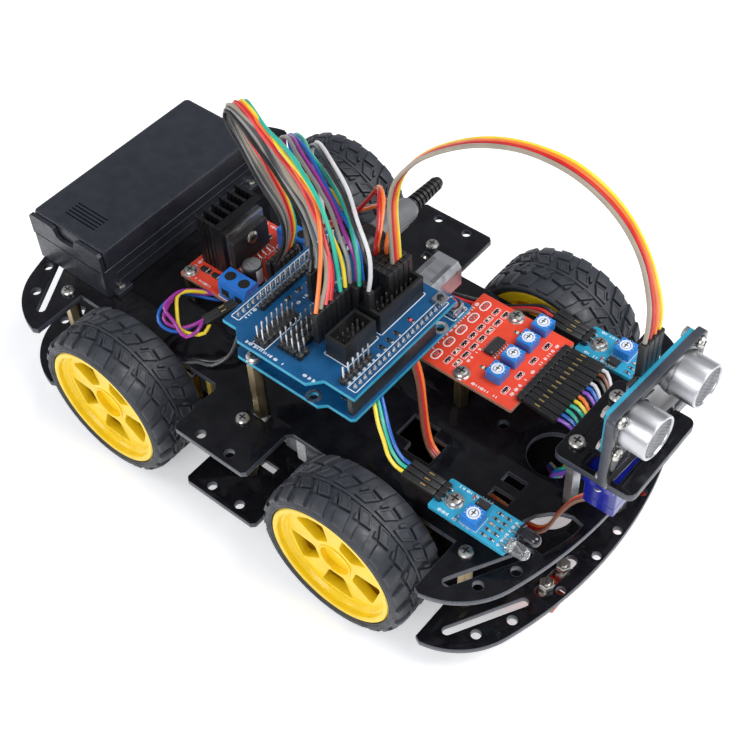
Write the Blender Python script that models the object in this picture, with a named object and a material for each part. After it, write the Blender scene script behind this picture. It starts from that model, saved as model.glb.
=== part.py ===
"""Four-wheel robot car kit: two acrylic decks, four gear motors, wheels, boards and a panning distance sensor.

X points forward, Y to the left and Z up. Dimensions below are millimetres on the car, measured from the
point on the ground midway between the four wheels; the finished objects are in metres, and the whole car is
shifted along X so that the middle of its bounding box stands over the world origin.
"""

import math

import bmesh
import bpy
from mathutils import Matrix, Vector

MM = 0.001
GAP = 0.3

# Decks
PLATE_HALF_LENGTH = 128.0
PLATE_HALF_WIDTH = 74.7
PLATE_THICKNESS = 2.5
WAIST = 50.2
TAB_HALF = 17.7
WING_X = 93.5
NOSE_ARC_R = 165.0
SHOULDER_R = 30.8
SHOULDER_Y = 54.0
LOWER_TOP = 18.4
STANDOFF = 30.0
LOWER_BOTTOM = LOWER_TOP - PLATE_THICKNESS
UPPER_BOTTOM = LOWER_TOP + STANDOFF
DECK = UPPER_BOTTOM + PLATE_THICKNESS
SCREW_R = 1.45
SCREW_HOLE_R = 1.8
SCREW_HEAD_R = 2.9
SCREW_HEAD_H = 2.0
HEX_R = 2.9
CABLE_HOLE = (99.2, 0.0)
CABLE_HOLE_R = 10.0
WING_HOLE = (109.7, 59.6)
TAB_HOLE = (7.1, 70.7)
FREE_HOLE_R = 1.9
DECK_STANDOFFS = {"front": (99.0, 52.0), "middle": (0.5, 56.5), "rear": (-99.0, 52.0)}

# Wheels and motors
WHEEL_X = 57.8
AXLE_Z = 32.5
TYRE_R = 32.5
TYRE_WIDTH = 26.0
TYRE_INNER_Y = 51.4
RIM_LIP_R = 26.7
RIM_BARREL_R = 24.7
HUB_R = 6.5
SHAFT_R = 2.7
SPOKES = 5
GEARBOX_INNER_Y = 26.2
GEARBOX_OUTER_Y = 44.4
MOTOR_Y = 35.3
CAN_R = 10.0

# Battery case
BATTERY_X = (-124.0, -82.8)
BATTERY_Y = (-44.6, 45.4)
BATTERY_TOP = 74.4
BATTERY_SEAM = 65.0
BATTERY_WALL = 1.8
CELL_R = 9.0
CELL_LENGTH = 65.0

# Boards
BOARD = 1.6
DRIVER_X = (-65.0, -22.0)
DRIVER_Y = (-21.6, 21.4)
DRIVER_Z = 56.9
CONTROLLER_X = -3.3
CONTROLLER_Y = 16.1
CONTROLLER_LENGTH = 68.6
CONTROLLER_WIDTH = 53.3
CONTROLLER_Z = DECK + STANDOFF
SHIELD_X = (-7.5, 51.3)
SHIELD_Y = (-55.0, 5.0)
SHIELD_Z = CONTROLLER_Z + 13.0
PLUG_TOP = 16.5
TRACKING_X = (41.5, 82.5)
TRACKING_Y = (-4.3, 35.3)
TRACKING_Z = DECK + 15.0
TRACKING_TRIMMERS_Y = (5.5, 14.9, 24.3, 33.7)
TRACKING_TRIMMER_X = 69.5
OBSTACLE_X = (81.5, 113.0)
OBSTACLE_Y = (36.8, 50.8)
OBSTACLE_Z = DECK + 10.0
OBSTACLE_TRIMMER = (97.5, 46.2)
TRIMMER_ROTOR_R = 1.5

# Sensor head
HEAD_X = (109.8, 140.4)
HEAD_Y = (-20.7, 18.7)
HEAD_Z = DECK + STANDOFF
HEAD_THICKNESS = 3.0
HEAD_STANDOFF_X = 114.4
HEAD_STANDOFF_Y = (-13.0, 11.0)
PAN_X = 127.5
PAN_Y = -1.0
PAN_REST = math.radians(-3.0)
HORN_Z = 88.6
EYE_Z = 111.5
EYE_R = 8.0
EYE_SPACING = 26.6
EYE_FRONT = 16.0
FACE_FRONT = 6.6
FACE_HALF_WIDTH = 25.0
FACE_TOP = 122.5
CONNECTOR_TOP = 135.8

NOSE_X = (PAN_X + EYE_FRONT * math.cos(PAN_REST)
          + (EYE_SPACING / 2 + EYE_R) * math.sin(-PAN_REST))
SHIFT_X = (NOSE_X - PLATE_HALF_LENGTH) / 2

# Each group of leads: its name, its radius and its route
LEAD_ROUTES = (
    ("driver_leads", 3.0, ((-26.0, 4.0, 70.2), (-25.0, 4.0, 80.0), (-28.5, 4.0, 95.0), (-36.0, 4.0, 109.0),
                           (-44.0, 4.0, 121.0), (-48.5, 4.0, 130.0), (-47.5, 3.8, 135.5), (-42.0, 2.5, 137.0),
                           (-30.0, -1.5, 136.0), (-14.0, -8.0, 134.5), (2.0, -14.5, 133.0), (14.0, -19.5, 130.0),
                           (22.5, -24.0, 126.0), (26.6, -27.0, 120.5), (27.0, -27.5, 113.2))),
    ("control_leads", 2.2, ((-24.5, 13.5, 70.2), (-26.0, 14.0, 84.0), (-31.0, 14.5, 100.0), (-34.5, 15.0, 112.0),
                            (-33.5, 14.5, 119.5), (-26.0, 11.0, 124.5), (-15.7, 4.5, 128.0), (-1.3, -3.4, 129.5),
                            (12.0, -10.6, 129.0), (22.3, -16.0, 127.0), (28.5, -19.0, 122.0), (30.0, -19.8, 112.6))),
    ("sensor_lead", 2.0, ((33.0, -5.0, 112.4), (32.6, -5.0, 122.0), (32.0, -4.8, 132.5), (32.2, -4.5, 140.0),
                          (35.0, -4.2, 150.0), (42.5, -3.8, 161.5), (53.0, -3.4, 171.5), (66.0, -3.0, 180.0),
                          (80.0, -2.7, 185.0), (94.0, -2.4, 185.8), (105.4, -2.1, 182.5), (115.0, -1.8, 175.5),
                          (122.0, -1.4, 165.0), (126.5, -1.0, 152.0), (128.0, -1.0, 143.0), (128.0, -1.0, 136.1))),
    ("tracking_leads", 2.6, ((99.2, 9.0, 67.4), (104.0, 9.0, 67.0), (108.0, 7.5, 62.5), (108.0, 4.0, 56.5),
                             (104.5, 0.5, 51.5), (101.0, -2.0, 46.5), (98.0, -3.0, 38.0), (97.0, -3.0, 27.0),
                             (96.5, -3.3, 17.5), (95.0, -5.0, 11.0), (92.0, -9.5, 8.6), (91.0, -14.5, 9.4),
                             (93.6, -18.2, 11.6), (100.0, -18.5, 11.9))),
    ("obstacle_leads", 1.6, ((68.6, -43.8, 63.4), (61.0, -43.8, 64.5), (57.0, -42.0, 72.0), (56.5, -39.0, 82.0),
                             (57.0, -36.5, 92.0), (54.5, -34.0, 99.0), (48.5, -33.0, 101.2), (40.8, -33.0, 101.2))),
)

LEAD_POINT_SPACING = 2.0
CORNERS = {"front_right": (1, -1), "front_left": (1, 1), "rear_right": (-1, -1), "rear_left": (-1, 1)}
SIDES = {"right": -1, "left": 1}


# ---- shapes, each a mesh in millimetres ----

def mesh_from(bm):
    """A mesh with its faces pointing out, made from a bmesh that is no longer needed."""
    bmesh.ops.recalc_face_normals(bm, faces=bm.faces)
    mesh = bpy.data.meshes.new("shape")
    bm.to_mesh(mesh)
    bm.free()
    return mesh


def prism(outline, low, high):
    """A flat outline in X and Y, extruded from low to high along Z."""
    bm = bmesh.new()
    face = bm.faces.new([bm.verts.new((x, y, low)) for x, y in outline])
    raised = bmesh.ops.extrude_face_region(bm, geom=[face])["geom"]
    tops = [v for v in raised if isinstance(v, bmesh.types.BMVert)]
    bmesh.ops.translate(bm, verts=tops, vec=(0, 0, high - low))
    return mesh_from(bm)


def box(x, y, z):
    """A block between the two values given for each axis."""
    return prism([(x[0], y[0]), (x[1], y[0]), (x[1], y[1]), (x[0], y[1])], z[0], z[1])


def circle(x, y, radius, steps=20, turn=0.0):
    """The points of a circle, counter-clockwise."""
    angles = [turn + 2 * math.pi * i / steps for i in range(steps)]
    return [(x + radius * math.cos(a), y + radius * math.sin(a)) for a in angles]


def disc(x, y, radius, low, high, steps=20, turn=0.0):
    """An upright cylinder."""
    return prism(circle(x, y, radius, steps, turn), low, high)


def stadium(start, end, radius, steps=5):
    """The outline of a slot with round ends between two centres."""
    (x0, y0), (x1, y1) = start, end
    heading = math.atan2(y1 - y0, x1 - x0)
    outline = []
    for (x, y), first in ((end, heading - math.pi / 2), (start, heading + math.pi / 2)):
        angles = [first + math.pi * i / steps for i in range(steps + 1)]
        outline += [(x + radius * math.cos(a), y + radius * math.sin(a)) for a in angles]
    return outline


def rounded(x, y, radius, steps=4):
    """The outline of a rectangle with round corners."""
    outline = []
    corners = ((x[1], y[1], 0), (x[0], y[1], 1), (x[0], y[0], 2), (x[1], y[0], 3))
    for cx, cy, quarter in corners:
        mx = cx + (-radius if quarter in (0, 3) else radius)
        my = cy + (-radius if quarter in (0, 1) else radius)
        angles = [math.pi / 2 * (quarter + i / steps) for i in range(steps + 1)]
        outline += [(mx + radius * math.cos(a), my + radius * math.sin(a)) for a in angles]
    return outline


def lathe(profile, steps):
    """A ring turned about Z from a closed profile of (radius, height) points."""
    bm = bmesh.new()
    rings = []
    for i in range(steps):
        a = 2 * math.pi * i / steps
        rings.append([bm.verts.new((r * math.cos(a), r * math.sin(a), h)) for r, h in profile])
    for i in range(steps):
        here, after = rings[i], rings[(i + 1) % steps]
        for j in range(len(profile)):
            k = (j + 1) % len(profile)
            bm.faces.new((here[j], after[j], after[k], here[k]))
    return mesh_from(bm)


def placed(mesh, matrix):
    """The mesh moved by a matrix."""
    mesh.transform(matrix)
    return mesh


def along_y(mesh):
    """A shape built about Z laid down so that its Z runs along Y."""
    return placed(mesh, Matrix.Rotation(math.radians(-90), 4, "X"))


def along_x(mesh):
    """A shape built about Z laid down so that its Z runs along X."""
    return placed(mesh, Matrix.Rotation(math.radians(90), 4, "Y"))


def move(mesh, x, y, z):
    return placed(mesh, Matrix.Translation((x, y, z)))


def combine(base, tools, operation):
    """The base joined with, or cut by, every tool."""
    group = bpy.data.collections.new("tools")
    bpy.context.scene.collection.children.link(group)
    helpers = []
    for tool in tools:
        helper = bpy.data.objects.new("tool", tool)
        group.objects.link(helper)
        helpers.append(helper)
    body = bpy.data.objects.new("body", base)
    bpy.context.scene.collection.objects.link(body)
    helpers.append(body)
    modifier = body.modifiers.new("Boolean", "BOOLEAN")
    modifier.operand_type = "COLLECTION"
    modifier.collection = group
    modifier.operation = operation
    graph = bpy.context.evaluated_depsgraph_get()
    result = bpy.data.meshes.new_from_object(body.evaluated_get(graph))
    for helper in helpers:
        bpy.data.objects.remove(helper)
    bpy.data.collections.remove(group)
    return result


def join(base, *tools):
    return combine(base, tools, "UNION")


def cut(base, *tools):
    return combine(base, tools, "DIFFERENCE")


# ---- objects ----

def clear_scene():
    for obj in list(bpy.data.objects):
        bpy.data.objects.remove(obj)


def material(name, colour, roughness, metallic=0.0):
    """A Principled material of this colour."""
    made = bpy.data.materials.new(name)
    made.use_nodes = True
    shader = made.node_tree.nodes["Principled BSDF"]
    shader.inputs["Base Color"].default_value = (*colour, 1.0)
    shader.inputs["Roughness"].default_value = roughness
    shader.inputs["Metallic"].default_value = metallic
    return made


def pivot(name, place, parent):
    """An empty at a place on the car, which moving pieces turn or slide with."""
    empty = bpy.data.objects.new(name, None)
    bpy.context.scene.collection.objects.link(empty)
    empty.empty_display_size = 5 * MM
    empty["place"] = place
    if parent:
        empty.parent = parent
        empty.location = (Vector(place) - Vector(parent["place"])) * MM
    return empty


def node(name, mesh, finish, parent):
    """The finished object of a mesh, with its origin at its parent's place."""
    mesh.transform(Matrix.Scale(MM, 4) @ Matrix.Translation(-Vector(parent["place"])))
    mesh.name = name
    mesh.materials.clear()
    mesh.materials.append(finish)
    mesh.shade_smooth()
    mesh.set_sharp_from_angle(angle=math.radians(35))
    obj = bpy.data.objects.new(name, mesh)
    obj.parent = parent
    bpy.context.scene.collection.objects.link(obj)
    return obj


# ---- sub-parts ----

def plate_outline():
    """The deck's outline: a waist between four wheel wells, two side tabs and a curved nose and tail."""
    main_x = PLATE_HALF_LENGTH - NOSE_ARC_R
    reach = math.asin(SHOULDER_Y / NOSE_ARC_R)
    shoulder_x = main_x + (NOSE_ARC_R - SHOULDER_R) * math.cos(reach)
    shoulder_y = (NOSE_ARC_R - SHOULDER_R) * math.sin(reach)
    tip = math.acos((WING_X + 0.9 - shoulder_x) / SHOULDER_R)
    quarter = []
    for i in range(9):
        a = reach * i / 8
        quarter.append((main_x + NOSE_ARC_R * math.cos(a), NOSE_ARC_R * math.sin(a)))
    for i in range(1, 8):
        a = reach + (tip - reach) * i / 7
        quarter.append((shoulder_x + SHOULDER_R * math.cos(a), shoulder_y + SHOULDER_R * math.sin(a)))
    quarter += [(WING_X, PLATE_HALF_WIDTH - 1.6), (WING_X, WAIST), (TAB_HALF + 2, WAIST)]
    quarter += [(TAB_HALF, WAIST + 2), (TAB_HALF, PLATE_HALF_WIDTH - 1.5), (TAB_HALF - 1.5, PLATE_HALF_WIDTH)]
    half = quarter + [(-x, y) for x, y in reversed(quarter)]
    return half + [(x, -y) for x, y in reversed(half[1:-1])]


def deck_holes(low, high):
    """The cutters that both decks share."""
    cutters = []
    for sx, sy in CORNERS.values():
        slot = stadium((sx * 100.9, sy * 64.7), (sx * 115.4, sy * 38.9), 1.75)
        cutters.append(prism(slot, low, high))
        cutters.append(disc(sx * WING_HOLE[0], sy * WING_HOLE[1], FREE_HOLE_R, low, high, 16))
        cutters.append(disc(sx * TAB_HOLE[0], sy * TAB_HOLE[1], FREE_HOLE_R, low, high, 16))
        cutters.append(disc(sx * 116.4, sy * 47.3, FREE_HOLE_R, low, high, 8))
    for x, y in DECK_STANDOFFS.values():
        for sy in SIDES.values():
            cutters.append(disc(x, sy * y, SCREW_HOLE_R, low, high, 8))
    for sy in SIDES.values():
        cutters.append(box((0.3, 7.6), (sy * 50.6 - 1.6, sy * 50.6 + 1.6), (low, high)))
    return cutters


def lower_plate(finish, parent):
    low, high = LOWER_BOTTOM - 2, LOWER_TOP + 2
    cutters = deck_holes(low, high)
    for y in (-7.0, 6.8, -27.0, 27.0):
        cutters.append(disc(125.0 if abs(y) < 10 else 123.0, y, 1.7, low, high, 8))
    cutters.append(disc(*CABLE_HOLE, CABLE_HOLE_R, low, high, 20))
    for sy in SIDES.values():
        cutters.append(prism(stadium((117.6, sy * 31.5), (118.9, sy * 14.5), 2.2), low, high))
    mesh = cut(prism(plate_outline(), LOWER_BOTTOM, LOWER_TOP), *cutters)
    node("lower_plate", mesh, finish, parent)


def upper_plate(finish, parent):
    low, high = UPPER_BOTTOM - 2, DECK + 2
    cutters = deck_holes(low, high)
    cutters.append(disc(*CABLE_HOLE, CABLE_HOLE_R, low, high, 20))
    cross = [(48.8, -26.8), (55.4, -26.8), (55.4, -30.6), (66.6, -30.6), (66.6, -20.0),
             (60.4, -20.0), (60.4, -15.8), (48.8, -15.8)]
    cutters.append(prism(cross, low, high))
    for sy in SIDES.values():
        for y in (26.0, 18.0):
            cutters.append(box((90.6, 98.9), (sy * y - 2.15, sy * y + 2.15), (low, high)))
        arch = [(106.5, sy * 29.5), (109.0, sy * 34.5), (119.4, sy * 36.8), (122.6, sy * 27.0),
                (123.6, sy * 18.5), (119.0, sy * 17.5), (112.0, sy * 21.0)]
        cutters.append(prism(arch, low, high))
        cutters.append(disc(125.0, sy * 7.5, 1.7, low, high, 8))
    for y in HEAD_STANDOFF_Y:
        cutters.append(disc(HEAD_STANDOFF_X, y, SCREW_HOLE_R, low, high, 8))
    cutters.append(disc(76.9, 0.0, 2.0, low, high, 8))
    mesh = cut(prism(plate_outline(), UPPER_BOTTOM, DECK), *cutters)
    node("upper_plate", mesh, finish, parent)


def standoff(name, x, y, low, high, under, over, finish, parent):
    """A hexagonal pillar between low and high, with a screw through what is under it and what is over it."""
    pieces = []
    if under:
        pieces.append(disc(x, y, SCREW_R, low - under - GAP - 1, low + 3, 8))
        pieces.append(disc(x, y, SCREW_HEAD_R, low - under - GAP - SCREW_HEAD_H, low - under - GAP, 10))
    if over:
        pieces.append(disc(x, y, SCREW_R, high - 3, high + over + GAP + 1, 8, 0.3))
        pieces.append(disc(x, y, SCREW_HEAD_R, high + over + GAP, high + over + GAP + SCREW_HEAD_H, 10))
    mesh = join(disc(x, y, HEX_R, low + GAP, high - GAP, 6), *pieces)
    node(name, mesh, finish, parent)


def deck_standoffs(finish, parent):
    for place, (x, y) in DECK_STANDOFFS.items():
        for side, sy in SIDES.items():
            standoff(f"plate_standoff_{place}_{side}", x, sy * y, LOWER_TOP, UPPER_BOTTOM,
                     PLATE_THICKNESS, PLATE_THICKNESS, finish, parent)


def gear_motor(corner, sx, sy, finish, parent):
    """A gearbox with its motor can behind it and the flange plate that holds it between the decks."""
    x = sx * WHEEL_X
    middle = (GEARBOX_INNER_Y + GEARBOX_OUTER_Y) / 2
    half = (GEARBOX_OUTER_Y - GEARBOX_INNER_Y) / 2
    profile = rounded((-11.4, 25.6), (-11.2, 11.2), 5.0)
    gearbox = along_y(prism([(-sx * px, py) for px, py in profile], -half, half))
    can = along_x(prism(circle(0, 0, CAN_R, 20), -14.0, 14.0))
    flange_outline = [(-5, -14.6), (5, -14.6), (5, 14.6), (-5, 14.6)]
    flange = along_y(prism(flange_outline, -1.3, 1.8))
    cap = along_x(disc(0, 0, 4.5, -3.0, 3.0, 14))
    mesh = join(
        move(gearbox, x, sy * middle, AXLE_Z),
        move(can, x - sx * 38.0, sy * middle, AXLE_Z),
        move(cap, x - sx * 53.0, sy * middle, AXLE_Z),
        move(flange, x - sx * 20.5, sy * (GEARBOX_OUTER_Y + 0.4), AXLE_Z + 0.9),
    )
    bore = along_y(disc(0, 0, SHAFT_R + 0.4, -20, 20, 16))
    mesh = cut(mesh, move(bore, x, sy * middle, AXLE_Z))
    node(f"gear_motor_{corner}", mesh, finish, parent)


def wheel(corner, sx, sy, finishes, parent):
    """The shaft, rim and tyre that turn together about the axle."""
    axle = pivot(f"wheel_pivot_{corner}", (sx * WHEEL_X, sy * MOTOR_Y, AXLE_Z), parent)
    turn = Matrix.Rotation(math.radians(-90 * sy), 4, "X")
    at_face = Matrix.Translation((sx * WHEEL_X, sy * TYRE_INNER_Y, AXLE_Z)) @ turn
    width = TYRE_WIDTH
    tyre = lathe([
        (RIM_BARREL_R + GAP, 2.6), (RIM_LIP_R + GAP, 2.3), (RIM_LIP_R + GAP, 0.6), (29.0, 0.0),
        (TYRE_R, 3.6), (TYRE_R, width - 3.6), (29.0, width),
        (RIM_LIP_R + GAP, width - 0.6), (RIM_LIP_R + GAP, width - 2.3), (RIM_BARREL_R + GAP, width - 2.6),
    ], 32)
    node(f"tyre_{corner}", placed(tyre, at_face), finishes["tyre"], axle)
    rim = lathe([
        (SHAFT_R + GAP, -2.0), (HUB_R, -2.0), (HUB_R, width - 8.5), (RIM_BARREL_R - 2, width - 8.5),
        (RIM_BARREL_R - 2, 0.4), (RIM_LIP_R, 0.4), (RIM_LIP_R, 2.0), (RIM_BARREL_R, 2.3),
        (RIM_BARREL_R, width - 2.3), (RIM_LIP_R, width - 2.0), (RIM_LIP_R, width - 0.6),
        (RIM_BARREL_R - 1, width - 0.6), (RIM_BARREL_R - 3, width - 4.0), (SHAFT_R + GAP, width - 4.0),
    ], 24)
    windows = []
    for i in range(SPOKES):
        a = 2 * math.pi * (i + 0.5) / SPOKES + math.pi / 2
        spread = math.radians(20)
        outline = [(9.5 * math.cos(a - 0.32), 9.5 * math.sin(a - 0.32)),
                   (20.5 * math.cos(a - spread), 20.5 * math.sin(a - spread)),
                   (20.5 * math.cos(a + spread), 20.5 * math.sin(a + spread)),
                   (9.5 * math.cos(a + 0.32), 9.5 * math.sin(a + 0.32))]
        windows.append(prism(outline, width - 11, width))
    node(f"wheel_rim_{corner}", placed(cut(rim, *windows), at_face), finishes["rim"], axle)
    shaft = disc(0, 0, SHAFT_R, -27.5, 14.0, 16)
    node(f"axle_shaft_{corner}", placed(shaft, at_face), finishes["shaft"], axle)


def battery_pack(finishes, parent):
    """A case of two lithium cells whose lid slides off sideways."""
    (x0, x1), (y0, y1), wall = BATTERY_X, BATTERY_Y, BATTERY_WALL
    floor = DECK + GAP
    tray = cut(
        join(box((x0, x1), (y0, y1), (floor, BATTERY_SEAM)),
             box((x0, x1), (y0, y0 + wall), (floor, BATTERY_TOP))),
        box((x0 + wall, x1 - wall), (y0 + wall, y1 - wall), (floor + wall, BATTERY_TOP + 5)),
    )
    node("battery_case", tray, finishes["case"], parent)
    rail = pivot("battery_cover_rail", ((x0 + x1) / 2, y1, BATTERY_TOP), parent)
    near = y0 + wall + GAP
    lid = cut(
        box((x0, x1), (near, y1), (BATTERY_SEAM + GAP, BATTERY_TOP)),
        box((x0 + wall, x1 - wall), (near - 5, y1 - wall), (BATTERY_SEAM - 5, BATTERY_TOP - wall)),
    )
    node("battery_cover", lid, finishes["case"], rail)
    middle = (y0 + y1) / 2
    height = floor + wall + GAP + CELL_R
    for name, x in (("front", x1 - wall - GAP - CELL_R), ("rear", x0 + wall + GAP + CELL_R)):
        cell = join(along_y(disc(0, 0, CELL_R, -CELL_LENGTH / 2, CELL_LENGTH / 2, 18)),
                    along_y(disc(0, 0, 3, CELL_LENGTH / 2 - 1, CELL_LENGTH / 2 + 1.4, 10)))
        node(f"battery_cell_{name}", move(cell, x, middle, height), finishes["cell"], parent)


def motor_driver(finishes, parent):
    """The two-channel driver board with its terminals and capacitors, and its heatsink."""
    (x0, x1), (y0, y1), z = DRIVER_X, DRIVER_Y, DRIVER_Z
    top = z + BOARD
    pieces = []
    for px in (x0 + 3, x1 - 3):
        for py in (y0 + 3, y1 - 3):
            pieces.append(disc(px, py, 2.5, DECK + GAP, z + 0.5, 6))
    pieces.append(box((-43.5, -29.5), (y0 + 0.5, y0 + 8.5), (z + 1, top + 10)))
    pieces.append(box((-43.5, -29.5), (y1 - 8.5, y1 - 0.5), (z + 1, top + 10)))
    pieces.append(box((x1 - 8.5, x1 - 0.5), (-7.6, 7.6), (z + 1, top + 10)))
    pieces.append(disc(-37.6, -7.6, 4.0, z + 1, top + 10.5, 16))
    pieces.append(disc(-31.2, 7.4, 4.0, z + 1, top + 10.5, 16))
    pieces.append(box((-47.8, -44.2), (-10.0, 10.0), (z + 1, top + 22)))
    board = join(box((x0, x1), (y0, y1), (z, top)), *pieces)
    node("motor_driver_board", board, finishes["red_board"], parent)
    fins = [box((-51.6, -48.1), (-11.6, 11.6), (top + GAP, top + 25))]
    for i in range(6):
        y = -11.0 + 22.0 * i / 5
        fins.append(box((-62.5, -50.5), (y - 0.6, y + 0.6), (top + GAP, top + 25)))
    node("driver_heatsink", join(*fins), finishes["black_metal"], parent)


def controller(finishes, parent):
    """The microcontroller board, with its sockets, and the reset button beside the data socket."""
    x0, y1, z = CONTROLLER_X, CONTROLLER_Y, CONTROLLER_Z
    x1, y0 = x0 + CONTROLLER_WIDTH, y1 - CONTROLLER_LENGTH
    top = z + BOARD
    data_socket = (x0 + 31.8, x0 + 43.8)
    button = (x1 - 4.2, y1 - 6.0)
    board = join(
        box((x0, x1), (y0, y1), (z, top)),
        box(data_socket, (y1 - 9.8, y1 + 6.2), (z + 1, top + 10.9)),
        box((x0 + 3.3, x0 + 12.2), (y1 - 10.5, y1 + 1.8), (z + 1, top + 10.8)),
        box((x0 + 1.3, x0 + 3.9), (y0 + 6.0, y0 + 48.5), (z + 1, top + 8.4)),
        box((x1 - 3.9, x1 - 1.3), (y0 + 4.0, y1 - 19.0), (z + 1, top + 8.4)),
        box((x0 + 17.0, x0 + 26.9), (y0 + 17.0, y0 + 52.0), (z + 1, top + 5.0)),
        box((button[0] - 3, button[0] + 3), (button[1] - 3, button[1] + 3), (z + 1, top + 3.6)),
    )
    holes = [box((data_socket[0] + 1.2, data_socket[1] - 1.2), (y1 - 2.5, y1 + 10), (top + 1.6, top + 9.4))]
    holes.append(disc(*button, 2.1, top + 1.4, top + 9, 14))
    for hx, hy in controller_holes():
        holes.append(disc(hx, hy, SCREW_HOLE_R, z - 2, top + 2, 12))
    node("controller_board", cut(board, *holes), finishes["blue_board"], parent)
    spring = pivot("reset_button_pivot", (*button, top + 4.5), parent)
    cap = disc(*button, 1.7, top + 2.3, top + 4.9, 14)
    node("reset_button", cap, finishes["button"], spring)


def controller_holes():
    """The centres of the controller board's two screwed holes, both on its rear edge."""
    x0, y1 = CONTROLLER_X, CONTROLLER_Y
    return [(x0 + 7.6, y1 - 66.0), (x0 + 2.6, y1 - 14.0)]


def controller_standoffs(finish, parent):
    for i, (x, y) in enumerate(controller_holes()):
        standoff(f"controller_standoff_{i + 1}", x, y, DECK, CONTROLLER_Z, 0, BOARD, finish, parent)


def shield(finish, parent):
    """The connector board plugged on top of the controller."""
    (x0, x1), (y0, y1), z = SHIELD_X, SHIELD_Y, SHIELD_Z
    top = z + BOARD
    outline = [(x0, -51.0), (-1.2, -51.0), (3.0, y0), (34.0, y0), (38.3, -50.3), (x1, -50.3), (x1, y1), (x0, y1)]
    board = join(
        prism(outline, z, top),
        box((30.8, 40.4), (-41.0, -25.0), (z + 1, top + 9)),
        box((30.8, 40.4), (-23.0, 0.8), (z + 1, top + 9)),
        box((8.0, 14.6), (-52.5, -33.0), (z + 1, top + 8.5)),
        box((16.0, 28.0), (-50.0, -14.0), (z + 1, top + 9)),
        box((24.6, 29.6), (-41.0, -18.0), (z + 1, top + PLUG_TOP)),
        box((22.0, 35.6), (-12.6, 0.6), (z + 1, top + PLUG_TOP)),
        box((-1.0, 1.4), (-40.0, 2.0), (z + 1, top + 5)),
    )
    node("sensor_shield", board, finish, parent)


def tracking_board(finishes, parent):
    """The four-channel comparator board on two short pillars, and its trimmers' rotors."""
    (x0, x1), (y0, y1), z = TRACKING_X, TRACKING_Y, TRACKING_Z
    top = z + BOARD
    pieces = [disc(58.6, y, HEX_R, DECK + GAP, z + 0.5, 6) for y in (-1.2, 32.4)]
    pieces += [disc(58.6, y, SCREW_HEAD_R, top - 0.5, top + 2.0, 14) for y in (-1.2, 32.4)]
    pieces.append(box((58.9, 63.0), (11.4, 20.2), (z + 1, top + 1.7)))
    pieces.append(box((83.6, 98.0), (-2.6, 34.6), (z + 0.1, top + 1.3)))
    pieces.append(box((79.0, 84.2), (-2.6, 34.6), (z + 1, top + 2.4)))
    for y in TRACKING_TRIMMERS_Y:
        pieces.append(box((TRACKING_TRIMMER_X - 3.3, TRACKING_TRIMMER_X + 3.3), (y - 3.3, y + 3.3),
                          (z + 1, top + 4.2)))
    board = join(box((x0, x1), (y0, y1), (z, top)), *pieces)
    wells = [disc(TRACKING_TRIMMER_X, y, TRIMMER_ROTOR_R + GAP, top + 2.0, top + 9, 14)
             for y in TRACKING_TRIMMERS_Y]
    node("tracking_board", cut(board, *wells), finishes["red_board"], parent)
    for i, y in enumerate(TRACKING_TRIMMERS_Y):
        rotor(f"tracking_trimmer_{i + 1}", TRACKING_TRIMMER_X, y, top + 2.0, finishes["rotor"], parent)


def rotor(name, x, y, well, finish, parent):
    """A trimmer's slotted screw, free to turn in a well whose floor is at this height."""
    turning = pivot(f"{name}_pivot", (x, y, well), parent)
    screw = disc(x, y, TRIMMER_ROTOR_R, well + GAP, well + 2.6, 14)
    slot = box((x - 0.25, x + 0.25), (y - 3, y + 3), (well + 1.8, well + 6))
    node(name, cut(screw, slot), finish, turning)


def obstacle_sensor(side, sy, finishes, parent):
    """An infrared proximity board on a brass pillar, with its two lamps facing forward."""
    (x0, x1), (y0, y1), z = OBSTACLE_X, OBSTACLE_Y, OBSTACLE_Z
    top = z + BOARD
    ys = sorted((sy * y0, sy * y1))
    tx, ty = OBSTACLE_TRIMMER[0], sy * OBSTACLE_TRIMMER[1]
    middle = (ys[0] + ys[1]) / 2
    lamps = [along_x(disc(0, 0, 2.5, -0.5, 8.0, 14)) for _ in range(2)]
    pieces = [
        disc(88.0, middle, HEX_R, DECK + GAP, z + 0.5, 6),
        disc(88.0, middle, SCREW_HEAD_R, top - 0.5, top + 2.0, 14),
        box((x0 - 12.5, x0 + 3.0), (middle - 4.0, middle + 4.0), (z + 0.1, top + 2.4)),
        box((tx - 3.3, tx + 3.3), (ty - 3.3, ty + 3.3), (z + 1, top + 4.2)),
        box((x1 - 1.0, x1 + 0.6), (middle - 5.5, middle + 5.5), (z + 0.2, top + 2.6)),
        move(lamps[0], x1, middle - 3.2, z + 2.3),
        move(lamps[1], x1, middle + 3.2, z + 2.3),
    ]
    board = join(box((x0, x1), ys, (z, top)), *pieces)
    well = disc(tx, ty, TRIMMER_ROTOR_R + GAP, top + 2.0, top + 9, 14)
    node(f"obstacle_sensor_{side}", cut(board, well), finishes["blue_board"], parent)
    rotor(f"obstacle_trimmer_{side}", tx, ty, top + 2.0, finishes["rotor"], parent)


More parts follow.
